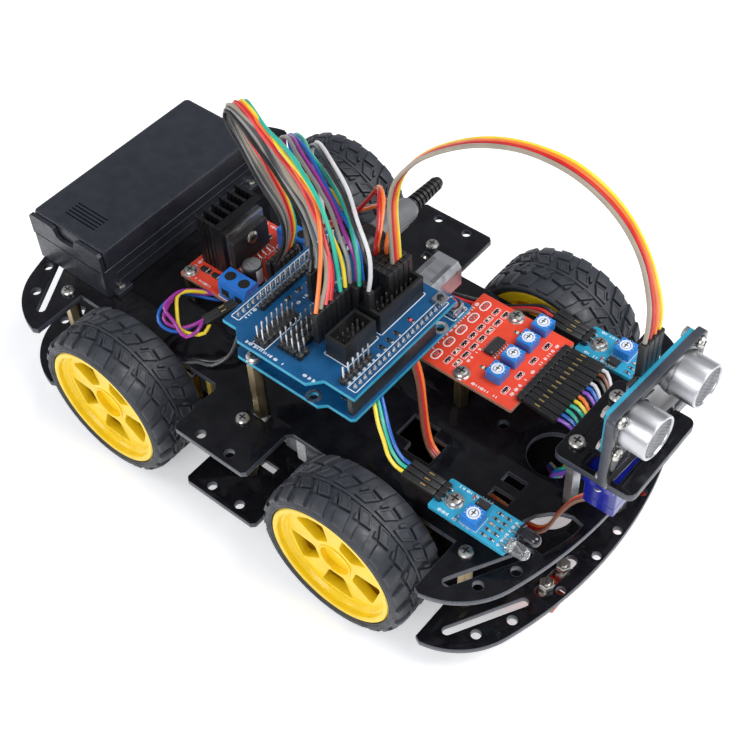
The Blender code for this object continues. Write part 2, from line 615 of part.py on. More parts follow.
def line_probes(finish, parent):
    """Four reflective probes hung under the nose, each screwed through a slot of the lower deck."""
    for i, y in enumerate((-28.5, -18.5, 18.5, 28.5)):
        x = 118.2 - 0.04 * (abs(y) - 20)
        mesh = join(
            box((x - 14.0, x + 6.0), (y - 4.4, y + 4.4), (LOWER_BOTTOM - 4.6, LOWER_BOTTOM - 3.2)),
            disc(x, y, 1.35, LOWER_BOTTOM - 4.0, LOWER_TOP + 1.5, 10),
            disc(x, y, 2.7, LOWER_TOP + GAP, LOWER_TOP + 2.3, 6),
            disc(x, y, 2.7, LOWER_BOTTOM - 3.8, LOWER_BOTTOM - GAP, 6, 0.2),
            box((x - 1.7, x + 5.0), (y - 2.6, y + 2.6), (LOWER_BOTTOM - 8.0, LOWER_BOTTOM - 4.2)),
            box((x - 17.0, x - 10.5), (y - 3.9, y + 3.9), (LOWER_BOTTOM - 5.4, LOWER_BOTTOM - 2.6)),
        )
        node(f"line_probe_{i + 1}", mesh, finish, parent)


def sensor_head(finishes, parent):
    """The raised platform, the pan servo, and the face plate with the ultrasonic sensor."""
    low, high = HEAD_Z, HEAD_Z + HEAD_THICKNESS
    window = box((PAN_X - 6.5, PAN_X + 6.5), (PAN_Y - 17.6, PAN_Y + 6.4), (low - 2, high + 2))
    holes = [disc(HEAD_STANDOFF_X, y, SCREW_HOLE_R, low - 2, high + 2, 12) for y in HEAD_STANDOFF_Y]
    platform = cut(prism(rounded(HEAD_X, HEAD_Y, 3.0), low, high), window, *holes)
    node("sensor_platform", platform, finishes["acrylic"], parent)
    for side, y in zip(("right", "left"), HEAD_STANDOFF_Y):
        standoff(f"platform_standoff_{side}", HEAD_STANDOFF_X, y, DECK, HEAD_Z,
                 PLATE_THICKNESS, HEAD_THICKNESS, finishes["brass"], parent)
    servo = join(
        box((PAN_X - 6.1, PAN_X + 6.1), (PAN_Y - 17.2, PAN_Y + 6.0), (low - 17.0, high + 1.2)),
        box((PAN_X - 5.9, PAN_X + 5.9), (PAN_Y - 19.4, PAN_Y + 12.4), (low - 2.8, low - GAP)),
        disc(PAN_X, PAN_Y, 2.4, high, HORN_Z - GAP, 14),
    )
    node("pan_servo", servo, finishes["servo"], parent)
    head = pivot("pan_pivot", (PAN_X, PAN_Y, HORN_Z), parent)
    pan = Matrix.Translation((PAN_X, PAN_Y, 0)) @ Matrix.Rotation(PAN_REST, 4, "Z")
    back, front = FACE_FRONT - 3.0, FACE_FRONT
    bracket = join(
        prism(rounded((-9.0, back + 1), (-16.0, 16.0), 3.0), HORN_Z, HORN_Z + 3.0),
        box((back, front), (-FACE_HALF_WIDTH, FACE_HALF_WIDTH), (HORN_Z - 1.2, FACE_TOP)),
    )
    eyes = []
    for side in (-1, 1):
        eye = along_x(disc(0, 0, EYE_R + GAP, -30, 30, 24))
        eyes.append(move(eye, 0, side * EYE_SPACING / 2, EYE_Z))
    for y in (-15.5, -5.2, 5.2, 15.5):
        eyes.append(box((-30, 30), (y - 3.1, y + 3.1), (HORN_Z + 4.4, HORN_Z + 7.4)))
    node("pan_bracket", placed(cut(bracket, *eyes), pan), finishes["acrylic"], head)
    pieces = [box((back - 4.5, back - 1.0), (-5.2, 5.2), (EYE_Z + 7.0, CONNECTOR_TOP))]
    for side in (-1, 1):
        eye = along_x(disc(0, 0, EYE_R, 0, EYE_FRONT - back + 1.4, 24))
        pieces.append(move(eye, back - 1.4, side * EYE_SPACING / 2, EYE_Z))
    sensor = join(box((back - GAP - BOARD, back - GAP), (-22.5, 22.5), (EYE_Z - 10, EYE_Z + 10)), *pieces)
    node("distance_sensor", placed(sensor, pan), finishes["blue_board"], head)


def power_plug(finish, parent):
    """The plug of the battery lead, pushed into the controller's power socket."""
    x, z = CONTROLLER_X + 7.75, CONTROLLER_Z + BOARD + 6.2
    socket = CONTROLLER_Y + 1.8
    mesh = join(along_y(disc(0, 0, 5.0, GAP, 20, 16)), along_y(disc(0, 0, 3.2, 19, 38, 12)))
    node("power_plug", move(mesh, x, socket, z), finish, parent)


def cable(name, route, radius, finish, parent):
    """A bundle of leads: a tube along a smooth curve through the route's points."""
    points = evenly_spaced(smooth(route, 24), LEAD_POINT_SPACING * 2 * radius)
    curve = bpy.data.curves.new(name, "CURVE")
    curve.dimensions = "3D"
    curve.bevel_depth = radius * MM
    curve.bevel_resolution = 2
    curve.use_fill_caps = True
    spline = curve.splines.new("POLY")
    spline.points.add(len(points) - 1)
    for target, point in zip(spline.points, points):
        target.co = (*((Vector(point) - Vector(parent["place"])) * MM), 1.0)
    curve.materials.append(finish)
    obj = bpy.data.objects.new(name, curve)
    obj.parent = parent
    bpy.context.scene.collection.objects.link(obj)


def leads(finish, parent):
    """The jumper leads, each group as one tube along its route between two connectors."""
    for name, radius, route in LEAD_ROUTES:
        cable(name, route, radius, finish, parent)


def smooth(route, steps):
    """Points on a Catmull-Rom curve through the route's points."""
    ends = [Vector(route[0]) * 2 - Vector(route[1])] + [Vector(p) for p in route]
    ends.append(Vector(route[-1]) * 2 - Vector(route[-2]))
    points = []
    for a, b, c, d in zip(ends, ends[1:], ends[2:], ends[3:]):
        for i in range(steps):
            t = i / steps
            points.append(0.5 * (2 * b + (c - a) * t + (2 * a - 5 * b + 4 * c - d) * t ** 2
                                 + (3 * b - a - 3 * c + d) * t ** 3))
    return points + [ends[-2]]


def evenly_spaced(points, spacing):
    """Points of an open line at equal distances along it, close to the spacing, with both ends kept."""
    lengths = [0.0]
    for a, b in zip(points, points[1:]):
        lengths.append(lengths[-1] + (b - a).length)
    count = max(3, round(lengths[-1] / spacing))
    picked = []
    for i in range(count + 1):
        wanted = lengths[-1] * i / count
        nearest = min(range(len(points)), key=lambda k: abs(lengths[k] - wanted))
        picked.append(points[nearest])
    return picked


def build():
    clear_scene()
    black_acrylic = material("black_acrylic", (0.010, 0.010, 0.013), 0.12)
    brass = material("brass", (0.55, 0.42, 0.22), 0.35, 1.0)
    yellow = material("yellow_plastic", (0.90, 0.66, 0.01), 0.35)
    tyre = material("tyre_rubber", (0.035, 0.038, 0.045), 0.75)
    shaft = material("white_nylon", (0.80, 0.79, 0.74), 0.45)
    case = material("case_plastic", (0.020, 0.022, 0.032), 0.40)
    cell = material("cell_wrap", (0.10, 0.30, 0.60), 0.40)
    red_board = material("red_solder_mask", (0.62, 0.06, 0.03), 0.35)
    blue_board = material("blue_solder_mask", (0.01, 0.14, 0.34), 0.35)
    black_metal = material("black_anodised", (0.015, 0.015, 0.018), 0.45, 0.6)
    rotor_white = material("rotor_white", (0.85, 0.85, 0.83), 0.40)
    servo_blue = material("servo_blue", (0.01, 0.05, 0.45), 0.25)
    button_red = material("button_red", (0.80, 0.12, 0.16), 0.40)
    black_rubber = material("black_rubber", (0.015, 0.015, 0.015), 0.60)
    lead = material("lead_insulation", (0.30, 0.12, 0.35), 0.45)

    world = pivot("car", (0.0, 0.0, 0.0), None)
    world.location = (-SHIFT_X * MM, 0, 0)

    lower_plate(black_acrylic, world)
    upper_plate(black_acrylic, world)
    deck_standoffs(brass, world)
    for corner, (sx, sy) in CORNERS.items():
        gear_motor(corner, sx, sy, yellow, world)
        wheel(corner, sx, sy, {"tyre": tyre, "rim": yellow, "shaft": shaft}, world)
    battery_pack({"case": case, "cell": cell}, world)
    motor_driver({"red_board": red_board, "black_metal": black_metal}, world)
    controller({"blue_board": blue_board, "button": button_red}, world)
    controller_standoffs(brass, world)
    shield(blue_board, world)
    tracking_board({"red_board": red_board, "rotor": rotor_white}, world)
    for side, sy in SIDES.items():
        obstacle_sensor(side, sy, {"blue_board": blue_board, "rotor": rotor_white}, world)
    line_probes(red_board, world)
    sensor_head({"acrylic": black_acrylic, "brass": brass, "servo": servo_blue, "blue_board": blue_board}, world)
    power_plug(black_rubber, world)
    leads(lead, world)


build()
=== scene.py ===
import math
import random

import bmesh
import bpy
from mathutils import Matrix, Vector


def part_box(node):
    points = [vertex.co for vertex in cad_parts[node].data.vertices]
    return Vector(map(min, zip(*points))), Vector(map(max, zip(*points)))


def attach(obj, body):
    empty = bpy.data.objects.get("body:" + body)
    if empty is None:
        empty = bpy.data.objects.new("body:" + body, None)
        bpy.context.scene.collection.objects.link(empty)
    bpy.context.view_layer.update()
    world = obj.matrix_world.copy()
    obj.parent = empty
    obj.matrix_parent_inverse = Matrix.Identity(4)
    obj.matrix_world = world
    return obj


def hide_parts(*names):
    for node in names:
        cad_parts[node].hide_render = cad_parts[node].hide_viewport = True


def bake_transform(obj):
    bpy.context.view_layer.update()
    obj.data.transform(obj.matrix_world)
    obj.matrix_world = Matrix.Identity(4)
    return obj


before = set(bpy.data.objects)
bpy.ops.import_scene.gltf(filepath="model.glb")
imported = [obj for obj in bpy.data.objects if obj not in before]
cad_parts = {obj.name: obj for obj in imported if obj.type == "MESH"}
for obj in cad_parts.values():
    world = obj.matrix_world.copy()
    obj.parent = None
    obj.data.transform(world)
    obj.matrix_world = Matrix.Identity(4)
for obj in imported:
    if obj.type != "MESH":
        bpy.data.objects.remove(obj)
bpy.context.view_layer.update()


# The looks of the four wheel robot car. Lengths are millimetres on the car: X forward and Y to the left
# of the middle of the decks, Z up from the ground.

MM = 0.001
random.seed(7)


def car(x, y, z):
    """A point on the car, in the frame's metres."""
    return Vector((x, y, z)) * MM + Vector((CENTRE_X, 0, 0))


def extent(name):
    """The lowest and highest corner of a CAD node, in millimetres on the car."""
    low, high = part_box(name)
    shift = Vector((CENTRE_X, 0, 0))
    return (low - shift) / MM, (high - shift) / MM


CENTRE_X = (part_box("upper_plate")[0].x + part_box("upper_plate")[1].x) / 2

# Decks
FLOOR_LOW, FLOOR_HIGH = extent("lower_plate")[0].z, extent("lower_plate")[1].z
DECK_LOW, DECK = extent("upper_plate")[0].z, extent("upper_plate")[1].z
HALF_LENGTH = extent("upper_plate")[1].x
HALF_WIDTH = extent("upper_plate")[1].y
WAIST = 50.2
TAB_HALF = 17.7
WING_X = 93.5
NOSE_ARC_R = 165.0
SHOULDER_R = 30.8
SHOULDER_Y = 54.0
CABLE_HOLE = (99.2, 0.0)
DECK_SCREWS = ((99.0, 52.0), (0.5, 56.5), (-99.0, 52.0))
PILLAR_R = 2.9

# Wheels
WHEEL_X = 57.8
AXLE_Z = 32.5
TYRE_R = 32.5
TYRE_WIDTH = 26.0
TYRE_FACE_Y = 51.4
TREAD_BASE_R = 31.1
CAN_END = 51.4
PITCHES = 22
SPOKES = 5
MOTOR_Y = 35.3
CORNERS = {"front_right": (1, -1), "front_left": (1, 1), "rear_right": (-1, -1), "rear_left": (-1, 1)}
BATTERY_X = (-124.0, -82.8)
BATTERY_Y = (-44.6, 45.4)

# Boards
BOARD = 1.6
DRIVER = ((-65.0, -22.0), (-21.6, 21.4), 56.9)
CONTROLLER = ((-3.3, 50.0), (-52.5, 16.1), DECK + 30)
SHIELD = ((-7.5, 51.3), (-55.0, 5.0), DECK + 43)
TRACKING = ((41.5, 82.5), (-4.3, 35.3), DECK + 15)
OBSTACLE = ((81.5, 113.0), (36.8, 50.8), DECK + 10)
TRIMMER_X = 69.5
TRIMMER_YS = (5.5, 14.9, 24.3, 33.7)
PROBE_YS = (-28.5, -18.5, 18.5, 28.5)
FIRST_TRACKING_PIN_Y = 2.0
PIN_PITCH = 2.54
PLUG_LENGTH = 14.0

# Sensor head
HEAD_Z = DECK + 30
PAN = Vector((127.5, -1.0, 88.6))
PAN_REST = math.radians(-3)
EYE_Z = 111.5
EYE_R = 8.0
EYE_Y = 13.3
EYE_FRONT = 16.0
FACE = (3.6, 6.6)

WIRE_R = 0.74


# ---- finishes ----

def link(tree, source, output, target, socket):
    tree.links.new(source.outputs[output], target.inputs[socket])


def noise(tree, coordinates, scale, detail=3.0, stretch=(1, 1, 1)):
    """A noise node whose pattern repeats about this many times a metre."""
    mapping = tree.nodes.new("ShaderNodeMapping")
    mapping.inputs["Scale"].default_value = stretch
    link(tree, coordinates, "Object", mapping, "Vector")
    made = tree.nodes.new("ShaderNodeTexNoise")
    made.inputs["Scale"].default_value = scale
    made.inputs["Detail"].default_value = detail
    link(tree, mapping, "Vector", made, "Vector")
    return made


def ramp(tree, source, output, low, high, start=0.3, end=0.7):
    """Values from low to high as the source goes from start to end."""
    made = tree.nodes.new("ShaderNodeMapRange")
    made.inputs["From Min"].default_value = start
    made.inputs["From Max"].default_value = end
    made.inputs["To Min"].default_value = low
    made.inputs["To Max"].default_value = high
    link(tree, source, output, made, "Value")
    return made


def finish(name, colour, roughness, metallic=0.0, shade=0.18, shade_scale=160, rough_spread=0.08,
           bump=0.06, bump_scale=1800, stretch=(1, 1, 1), coat=0.0, transmission=0.0, ior=1.5, specular=0.5):
    """A Principled material whose colour, roughness and surface vary a little, as the real one's do."""
    made = bpy.data.materials.new(name)
    made.use_nodes = True
    tree = made.node_tree
    shader = tree.nodes["Principled BSDF"]
    shader.inputs["Metallic"].default_value = metallic
    shader.inputs["Coat Weight"].default_value = coat
    shader.inputs["Coat Roughness"].default_value = 0.08
    shader.inputs["Transmission Weight"].default_value = transmission
    shader.inputs["IOR"].default_value = ior
    shader.inputs["Specular IOR Level"].default_value = specular
    coordinates = tree.nodes.new("ShaderNodeTexCoord")
    clouds = noise(tree, coordinates, shade_scale, 4.0, stretch)
    mix = tree.nodes.new("ShaderNodeMix")
    mix.data_type = "RGBA"
    mix.inputs["A"].default_value = (*[c * (1 - shade) for c in colour], 1)
    mix.inputs["B"].default_value = (*[min(1, c * (1 + shade) + 0.004) for c in colour], 1)
    link(tree, ramp(tree, clouds, "Fac", 0, 1), "Result", mix, "Factor")
    link(tree, mix, "Result", shader, "Base Color")
    wear = noise(tree, coordinates, shade_scale * 2.3, 5.0, stretch)
    spread = ramp(tree, wear, "Fac", max(0.02, roughness - rough_spread), min(1, roughness + rough_spread))
    link(tree, spread, "Result", shader, "Roughness")
    grain = noise(tree, coordinates, bump_scale, 2.0, stretch)
    relief = tree.nodes.new("ShaderNodeBump")
    relief.inputs["Strength"].default_value = bump
    relief.inputs["Distance"].default_value = 0.0002
    link(tree, grain, "Fac", relief, "Height")
    link(tree, relief, "Normal", shader, "Normal")
    return made


def specks(material, colour, scale, share):
    """Scatters small flecks of another colour, such as dust or copper under a mask, over a finish."""
    tree = material.node_tree
    shader = tree.nodes["Principled BSDF"]
    coordinates = next(n for n in tree.nodes if n.type == "TEX_COORD")
    cells = tree.nodes.new("ShaderNodeTexVoronoi")
    cells.inputs["Scale"].default_value = scale
    link(tree, coordinates, "Object", cells, "Vector")
    mask = ramp(tree, cells, "Distance", 1, 0, share * 0.6, share)
    before = shader.inputs["Base Color"].links[0].from_socket
    mix = tree.nodes.new("ShaderNodeMix")
    mix.data_type = "RGBA"
    mix.inputs["B"].default_value = (*colour, 1)
    tree.links.new(before, mix.inputs["A"])
    link(tree, mask, "Result", mix, "Factor")
    link(tree, mix, "Result", shader, "Base Color")
    return material


ACRYLIC = specks(finish("black_acrylic", (0.006, 0.006, 0.008), 0.10, rough_spread=0.04, bump=0.02,
                        bump_scale=300, specular=0.25), (0.05, 0.05, 0.055), 420, 0.05)
ACRYLIC_EDGE = finish("acrylic_edge", (0.045, 0.05, 0.065), 0.34, bump=0.12, stretch=(1, 1, 0.1))
YELLOW = finish("yellow_plastic", (0.88, 0.60, 0.006), 0.34, shade=0.05, bump=0.05, coat=0.15)
RUBBER = finish("tyre_rubber", (0.030, 0.034, 0.043), 0.50, shade=0.22, rough_spread=0.12, bump=0.18,
                bump_scale=2600)
NYLON = finish("white_nylon", (0.72, 0.71, 0.66), 0.42, shade=0.06)
CASE = finish("case_plastic", (0.017, 0.019, 0.028), 0.36, shade=0.12, bump=0.22, bump_scale=3400)
CELL = finish("cell_wrap", (0.05, 0.17, 0.45), 0.30, shade=0.10)
RED_MASK = finish("red_solder_mask", (0.78, 0.065, 0.03), 0.36, shade=0.06, bump=0.03, specular=0.3)
BLUE_MASK = finish("blue_solder_mask", (0.004, 0.075, 0.20), 0.32, shade=0.10, bump=0.03, specular=0.35)
BLUE_EDGE = finish("blue_board_edge", (0.02, 0.30, 0.46), 0.45, shade=0.15)
RED_EDGE = finish("red_board_edge", (0.45, 0.22, 0.15), 0.5, shade=0.15)
SILK = finish("white_marking", (0.80, 0.84, 0.86), 0.5, shade=0.05)
TIN = finish("tin", (0.68, 0.68, 0.68), 0.30, 1.0, shade=0.12, rough_spread=0.12, bump=0.10)
NICKEL = finish("nickel", (0.60, 0.585, 0.55), 0.34, 1.0, shade=0.12, rough_spread=0.10)
BRASS = finish("dull_brass", (0.46, 0.37, 0.22), 0.36, 1.0, shade=0.22, shade_scale=240, bump=0.12,
               stretch=(1, 1, 0.2))
GOLD = finish("gold_contact", (0.85, 0.62, 0.25), 0.28, 1.0)
BLACK = finish("black_plastic", (0.012, 0.012, 0.013), 0.38, shade=0.15, bump=0.15, bump_scale=4200)
# Near-black painted shade, laid in recesses, holes and openings in place of the shade that would fall there.
PAINTED_SHADE = finish("painted_gap_shade", (0.004, 0.004, 0.004), 0.8, shade=0.1)
GREY = finish("grey_plastic", (0.16, 0.165, 0.175), 0.5, shade=0.08, bump=0.12)
CHIP = finish("chip_resin", (0.020, 0.020, 0.022), 0.55, shade=0.15, bump=0.25, bump_scale=5200)
ANODISED = finish("black_anodised", (0.014, 0.014, 0.016), 0.34, 0.55, shade=0.18, bump=0.10,
                  stretch=(1, 1, 0.1))
STEEL = finish("brushed_can", (0.56, 0.57, 0.59), 0.36, 1.0, shade=0.07, rough_spread=0.10, bump=0.10,
               bump_scale=900, stretch=(0.08, 1, 1))
GRILLE = finish("grille_wire", (0.33, 0.33, 0.34), 0.42, 1.0, shade=0.2)
TERMINAL = finish("terminal_blue", (0.015, 0.17, 0.62), 0.30, shade=0.07, coat=0.2)
TRIMMER = finish("trimmer_blue", (0.02, 0.20, 0.62), 0.30, shade=0.07, coat=0.2)
ROTOR = finish("rotor_white", (0.82, 0.84, 0.86), 0.32, shade=0.05)
SERVO = finish("servo_blue", (0.006, 0.012, 0.24), 0.16, shade=0.12, coat=0.3)
BUTTON = finish("button_red", (0.72, 0.10, 0.13), 0.36, shade=0.06)
CLEAR = finish("clear_resin", (0.93, 0.95, 0.96), 0.06, shade=0.02, rough_spread=0.03, transmission=0.92,
               ior=1.5)
SMOKED = finish("smoked_resin", (0.010, 0.010, 0.014), 0.10, shade=0.1, coat=0.6)
STRAP = finish("clear_strap", (0.86, 0.88, 0.90), 0.22, shade=0.04, transmission=0.35)
CERAMIC = finish("ceramic", (0.72, 0.62, 0.46), 0.45, shade=0.1)

WIRES = {
    "black": (0.010, 0.010, 0.011), "slate": (0.075, 0.078, 0.085), "grey": (0.26, 0.26, 0.25),
    "tan": (0.33, 0.285, 0.22), "white": (0.66, 0.66, 0.68), "red": (0.56, 0.012, 0.016),
    "salmon": (0.80, 0.085, 0.085), "orange": (0.88, 0.20, 0.035), "yellow": (0.88, 0.66, 0.035),
    "teal": (0.018, 0.44, 0.31), "blue": (0.012, 0.12, 0.50), "magenta": (0.33, 0.03, 0.30),
    "purple": (0.19, 0.06, 0.46), "brown": (0.19, 0.07, 0.035),
}
WIRES = {word: finish(f"lead_{word}", colour, 0.34, shade=0.08, coat=0.15, bump=0.05)
         for word, colour in WIRES.items()}


# ---- outlines, in millimetres ----

def circle(x, y, radius, steps=32, turn=0.0):
    """A circle as a ring of points."""
    angles = [turn + 2 * math.pi * i / steps for i in range(steps)]
    return [(x + radius * math.cos(a), y + radius * math.sin(a)) for a in angles]


def rectangle(x, y):
    """A rectangle between two values of X and two of Y."""
    return [(x[0], y[0]), (x[1], y[0]), (x[1], y[1]), (x[0], y[1])]


def rounded(x, y, radius, steps=5):
    """A rectangle with round corners."""
    outline = []
    corners = ((x[1], y[1], 0), (x[0], y[1], 1), (x[0], y[0], 2), (x[1], y[0], 3))
    for cx, cy, quarter in corners:
        mx = cx + (-radius if quarter in (0, 3) else radius)
        my = cy + (-radius if quarter in (0, 1) else radius)
        angles = [math.pi / 2 * (quarter + i / steps) for i in range(steps + 1)]
        outline += [(mx + radius * math.cos(a), my + radius * math.sin(a)) for a in angles]
    return outline


def stadium(start, end, radius, steps=10):
    """A slot with round ends between two centres."""
    (x0, y0), (x1, y1) = start, end
    heading = math.atan2(y1 - y0, x1 - x0)
    outline = []
    for (x, y), first in ((end, heading - math.pi / 2), (start, heading + math.pi / 2)):
        angles = [first + math.pi * i / steps for i in range(steps + 1)]
        outline += [(x + radius * math.cos(a), y + radius * math.sin(a)) for a in angles]
    return outline


def smooth(route, steps):
    """Points on a Catmull-Rom curve through the route's points."""
    route = [Vector(p) for p in route]
    ends = [route[0] * 2 - route[1], *route, route[-1] * 2 - route[-2]]
    points = []
    for a, b, c, d in zip(ends, ends[1:], ends[2:], ends[3:]):
        for i in range(steps):
            t = i / steps
            points.append(0.5 * (2 * b + (c - a) * t + (2 * a - 5 * b + 4 * c - d) * t ** 2
                                 + (3 * b - a - 3 * c + d) * t ** 3))
    return points + [route[-1]]


# ---- shapes ----

class Shape:
    """A mesh under construction, in millimetres on the car, each of whose parts has its own finish."""

    def __init__(self):
        self.bm = bmesh.new()
        self.finishes = []
        self.place = Matrix.Identity(4)

    def faces(self, points, polygons, material):
        if material not in self.finishes:
            self.finishes.append(material)
        verts = [self.bm.verts.new(self.place @ Vector(p)) for p in points]
        for polygon in polygons:
            face = self.bm.faces.new([verts[i] for i in polygon])
            face.material_index = self.finishes.index(material)

    def rings(self, rings, material, closed=False):
        """A skin over rings of equally many points: capped at both ends, or closed on itself."""
        n = len(rings[0])
        points = [p for ring in rings for p in ring]
        polygons = []
        pairs = len(rings) if closed else len(rings) - 1
        for i in range(pairs):
            a, b = i * n, ((i + 1) % len(rings)) * n
            polygons += [(a + j, a + (j + 1) % n, b + (j + 1) % n, b + j) for j in range(n)]
        if not closed:
            polygons.append(tuple(reversed(range(n))))
            polygons.append(tuple(range(len(points) - n, len(points))))
        self.faces(points, polygons, material)

    def prism(self, outline, low, high, material):
        self.rings([[(x, y, z) for x, y in outline] for z in (low, high)], material)

    def block(self, x, y, z, material):
        self.prism(rectangle(x, y), z[0], z[1], material)

    def disc(self, x, y, radius, low, high, material, steps=28, turn=0.0):
        self.prism(circle(x, y, radius, steps, turn), low, high, material)

    def turned(self, profile, material, steps=36, x=0.0, y=0.0, closed=False):
        """A body turned about Z from (radius, height) points: capped at both ends, or a closed ring."""
        self.rings([[(x + px, y + py, h) for px, py in circle(0, 0, max(r, 0.01), steps)]
                    for r, h in profile], material, closed)

    def housing(self, x, y, levels, material, radius=1.0):
        """A block with round upright corners whose sides step in by each level's inset at its height."""
        rings = []
        for inset, z in levels:
            corner = max(0.15, radius - inset)
            outline = rounded((x[0] + inset, x[1] - inset), (y[0] + inset, y[1] - inset), corner)
            rings.append([(px, py, z) for px, py in outline])
        self.rings(rings, material)

    def soft_block(self, x, y, z, material, edge=0.3, radius=0.5):
        """A block with round corners and a chamfered top edge."""
        self.housing(x, y, [(0, z[0]), (0, z[1] - edge), (edge * 0.3, z[1] - edge * 0.3), (edge, z[1])],
                     material, max(radius, edge + 0.1))

    def tube(self, points, radius, material, sides=10):
        """A round tube along a line of points."""
        points = [Vector(p) for p in points]
        side = None
        rings = []
        for i, point in enumerate(points):
            ahead = (points[min(i + 1, len(points) - 1)] - points[max(i - 1, 0)]).normalized()
            if side is None:
                side = ahead.orthogonal().normalized()
            side = (side - ahead * side.dot(ahead)).normalized()
            up = ahead.cross(side)
            rings.append([point + radius * (math.cos(a) * side + math.sin(a) * up)
                          for a in (2 * math.pi * k / sides for k in range(sides))])
        self.rings(rings, material)

    def mesh(self, name):
        bmesh.ops.recalc_face_normals(self.bm, faces=self.bm.faces)
        self.bm.transform(Matrix.Scale(MM, 4))
        made = bpy.data.meshes.new(name)
        self.bm.to_mesh(made)
        self.bm.free()
        for material in self.finishes:
            made.materials.append(material)
        made.shade_smooth()
        made.set_sharp_from_angle(angle=math.radians(32))
        return made

    def piece(self, name, body, slot, replaces=(), edge=0.0):
        """The finished object on a body, with its edges rounded by this many millimetres."""
        return piece(name, self.mesh(name), body, replaces, edge)


def piece(name, mesh, body, replaces=(), edge=0.0, place=None):
    """An object that rides on a body, standing for any CAD nodes named."""
    obj = bpy.data.objects.new(name, mesh)
    bpy.context.scene.collection.objects.link(obj)
    obj.matrix_world = Matrix.Translation((CENTRE_X, 0, 0)) @ (place or Matrix.Identity(4))
    if edge:
        bevel = obj.modifiers.new("Edges", "BEVEL")
        bevel.width = edge * MM
        bevel.segments = 2
        bevel.limit_method = "ANGLE"
        bevel.angle_limit = math.radians(40)
        bevel.harden_normals = True
    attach(obj, body)
    if replaces:
        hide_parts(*replaces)
    return obj


def sheet_mesh(name, outline, holes, low, high, face, edge, rounding=0.18):
    """A flat sheet with holes, cut from a filled curve, whose edges have a finish of their own."""
    curve = bpy.data.curves.new(name, "CURVE")
    curve.dimensions = "2D"
    curve.fill_mode = "BOTH"
    curve.extrude = ((high - low) / 2 - rounding) * MM
    curve.bevel_depth = rounding * MM
    curve.bevel_resolution = 1
    curve.offset = -rounding * MM
    for ring in (outline, *holes):
        spline = curve.splines.new("POLY")
        spline.points.add(len(ring) - 1)
        for target, (x, y) in zip(spline.points, ring):
            target.co = (x * MM, y * MM, 0, 1)
        spline.use_cyclic_u = True
    helper = bpy.data.objects.new(name, curve)
    bpy.context.scene.collection.objects.link(helper)
    graph = bpy.context.evaluated_depsgraph_get()
    mesh = bpy.data.meshes.new_from_object(helper.evaluated_get(graph))
    bpy.data.objects.remove(helper)
    weld = bmesh.new()
    weld.from_mesh(mesh)
    bmesh.ops.remove_doubles(weld, verts=weld.verts, dist=1e-6)
    bmesh.ops.recalc_face_normals(weld, faces=weld.faces)
    weld.to_mesh(mesh)
    weld.free()
    mesh.transform(Matrix.Translation((0, 0, (low + high) / 2 * MM)))
    mesh.materials.clear()
    mesh.materials.append(face)
    mesh.materials.append(edge)
    for polygon in mesh.polygons:
        polygon.material_index = int(abs(polygon.normal.z) < 0.95)
    mesh.shade_smooth()
    mesh.set_sharp_from_angle(angle=math.radians(32))
    return mesh


# ---- small parts that repeat ----

def screw(shape, x, y, z, radius=2.8, height=1.9, metal=None):
    """A pan head with a cross recess, standing on a surface at height z."""
    metal = metal or NICKEL
    shape.turned([(radius * 0.96, z), (radius, z + 0.25), (radius * 0.97, z + height * 0.55),
                  (radius * 0.80, z + height * 0.86), (radius * 0.5, z + height), (0, z + height)],
                 metal, 28, x, y)
    arm, width = radius * 0.52, radius * 0.11
    top = z + height + 0.03
    # The cross recess is not cut: two near-black bars of painted shade on the head stand for it.
    shape.block((x - arm, x + arm), (y - width, y + width), (top - 0.25, top), PAINTED_SHADE)
    shape.block((x - width, x + width), (y - arm, y + arm), (top - 0.25, top + 0.01), PAINTED_SHADE)


def under_screw(shape, x, y, z, radius=2.8, height=1.9):
    """The same head hanging under a surface."""
    kept = shape.place
    shape.place = kept @ Matrix.Translation((x, y, z)) @ Matrix.Rotation(math.pi, 4, "X")
    screw(shape, 0, 0, 0, radius, height)
    shape.place = kept


def nut(shape, x, y, low, high, radius=2.9, metal=None):
    """A hexagon nut with chamfered ends."""
    shape.turned([(radius * 0.86, low), (radius, low + 0.3), (radius, high - 0.3), (radius * 0.86, high)],
                 metal or NICKEL, 6, x, y)


def pillar(shape, x, y, low, high, radius=PILLAR_R, metal=None):
    """A hexagonal pillar with a turned collar and a chamfer at each end."""
    metal = metal or BRASS
    shape.turned([(radius * 0.84, low), (radius * 0.84, low + 0.5), (radius, low + 0.9), (radius, high - 0.9),
                  (radius * 0.84, high - 0.5), (radius * 0.84, high)], metal, 6, x, y)


def pins(shape, x, y, z, columns, rows, low=0.0, high=8.5, base=2.5, metal=None, along=(1, 0)):
    """A grid of square pins in a black strip. x and y are the first pin; along is the direction of a row."""
    ax, ay = along
    for row in range(rows):
        for column in range(columns):
            px = x + PIN_PITCH * (column * ax - row * ay)
            py = y + PIN_PITCH * (column * ay + row * ax)
            shape.housing((px - 1.25, px + 1.25), (py - 1.25, py + 1.25),
                          [(0, z), (0, z + base - 0.3), (0.35, z + base)], BLACK, 0.7)
            shape.housing((px - 0.32, px + 0.32), (py - 0.32, py + 0.32),
                          [(0, z + low), (0, z + high - 0.4), (0.18, z + high)], metal or TIN, 0.1)


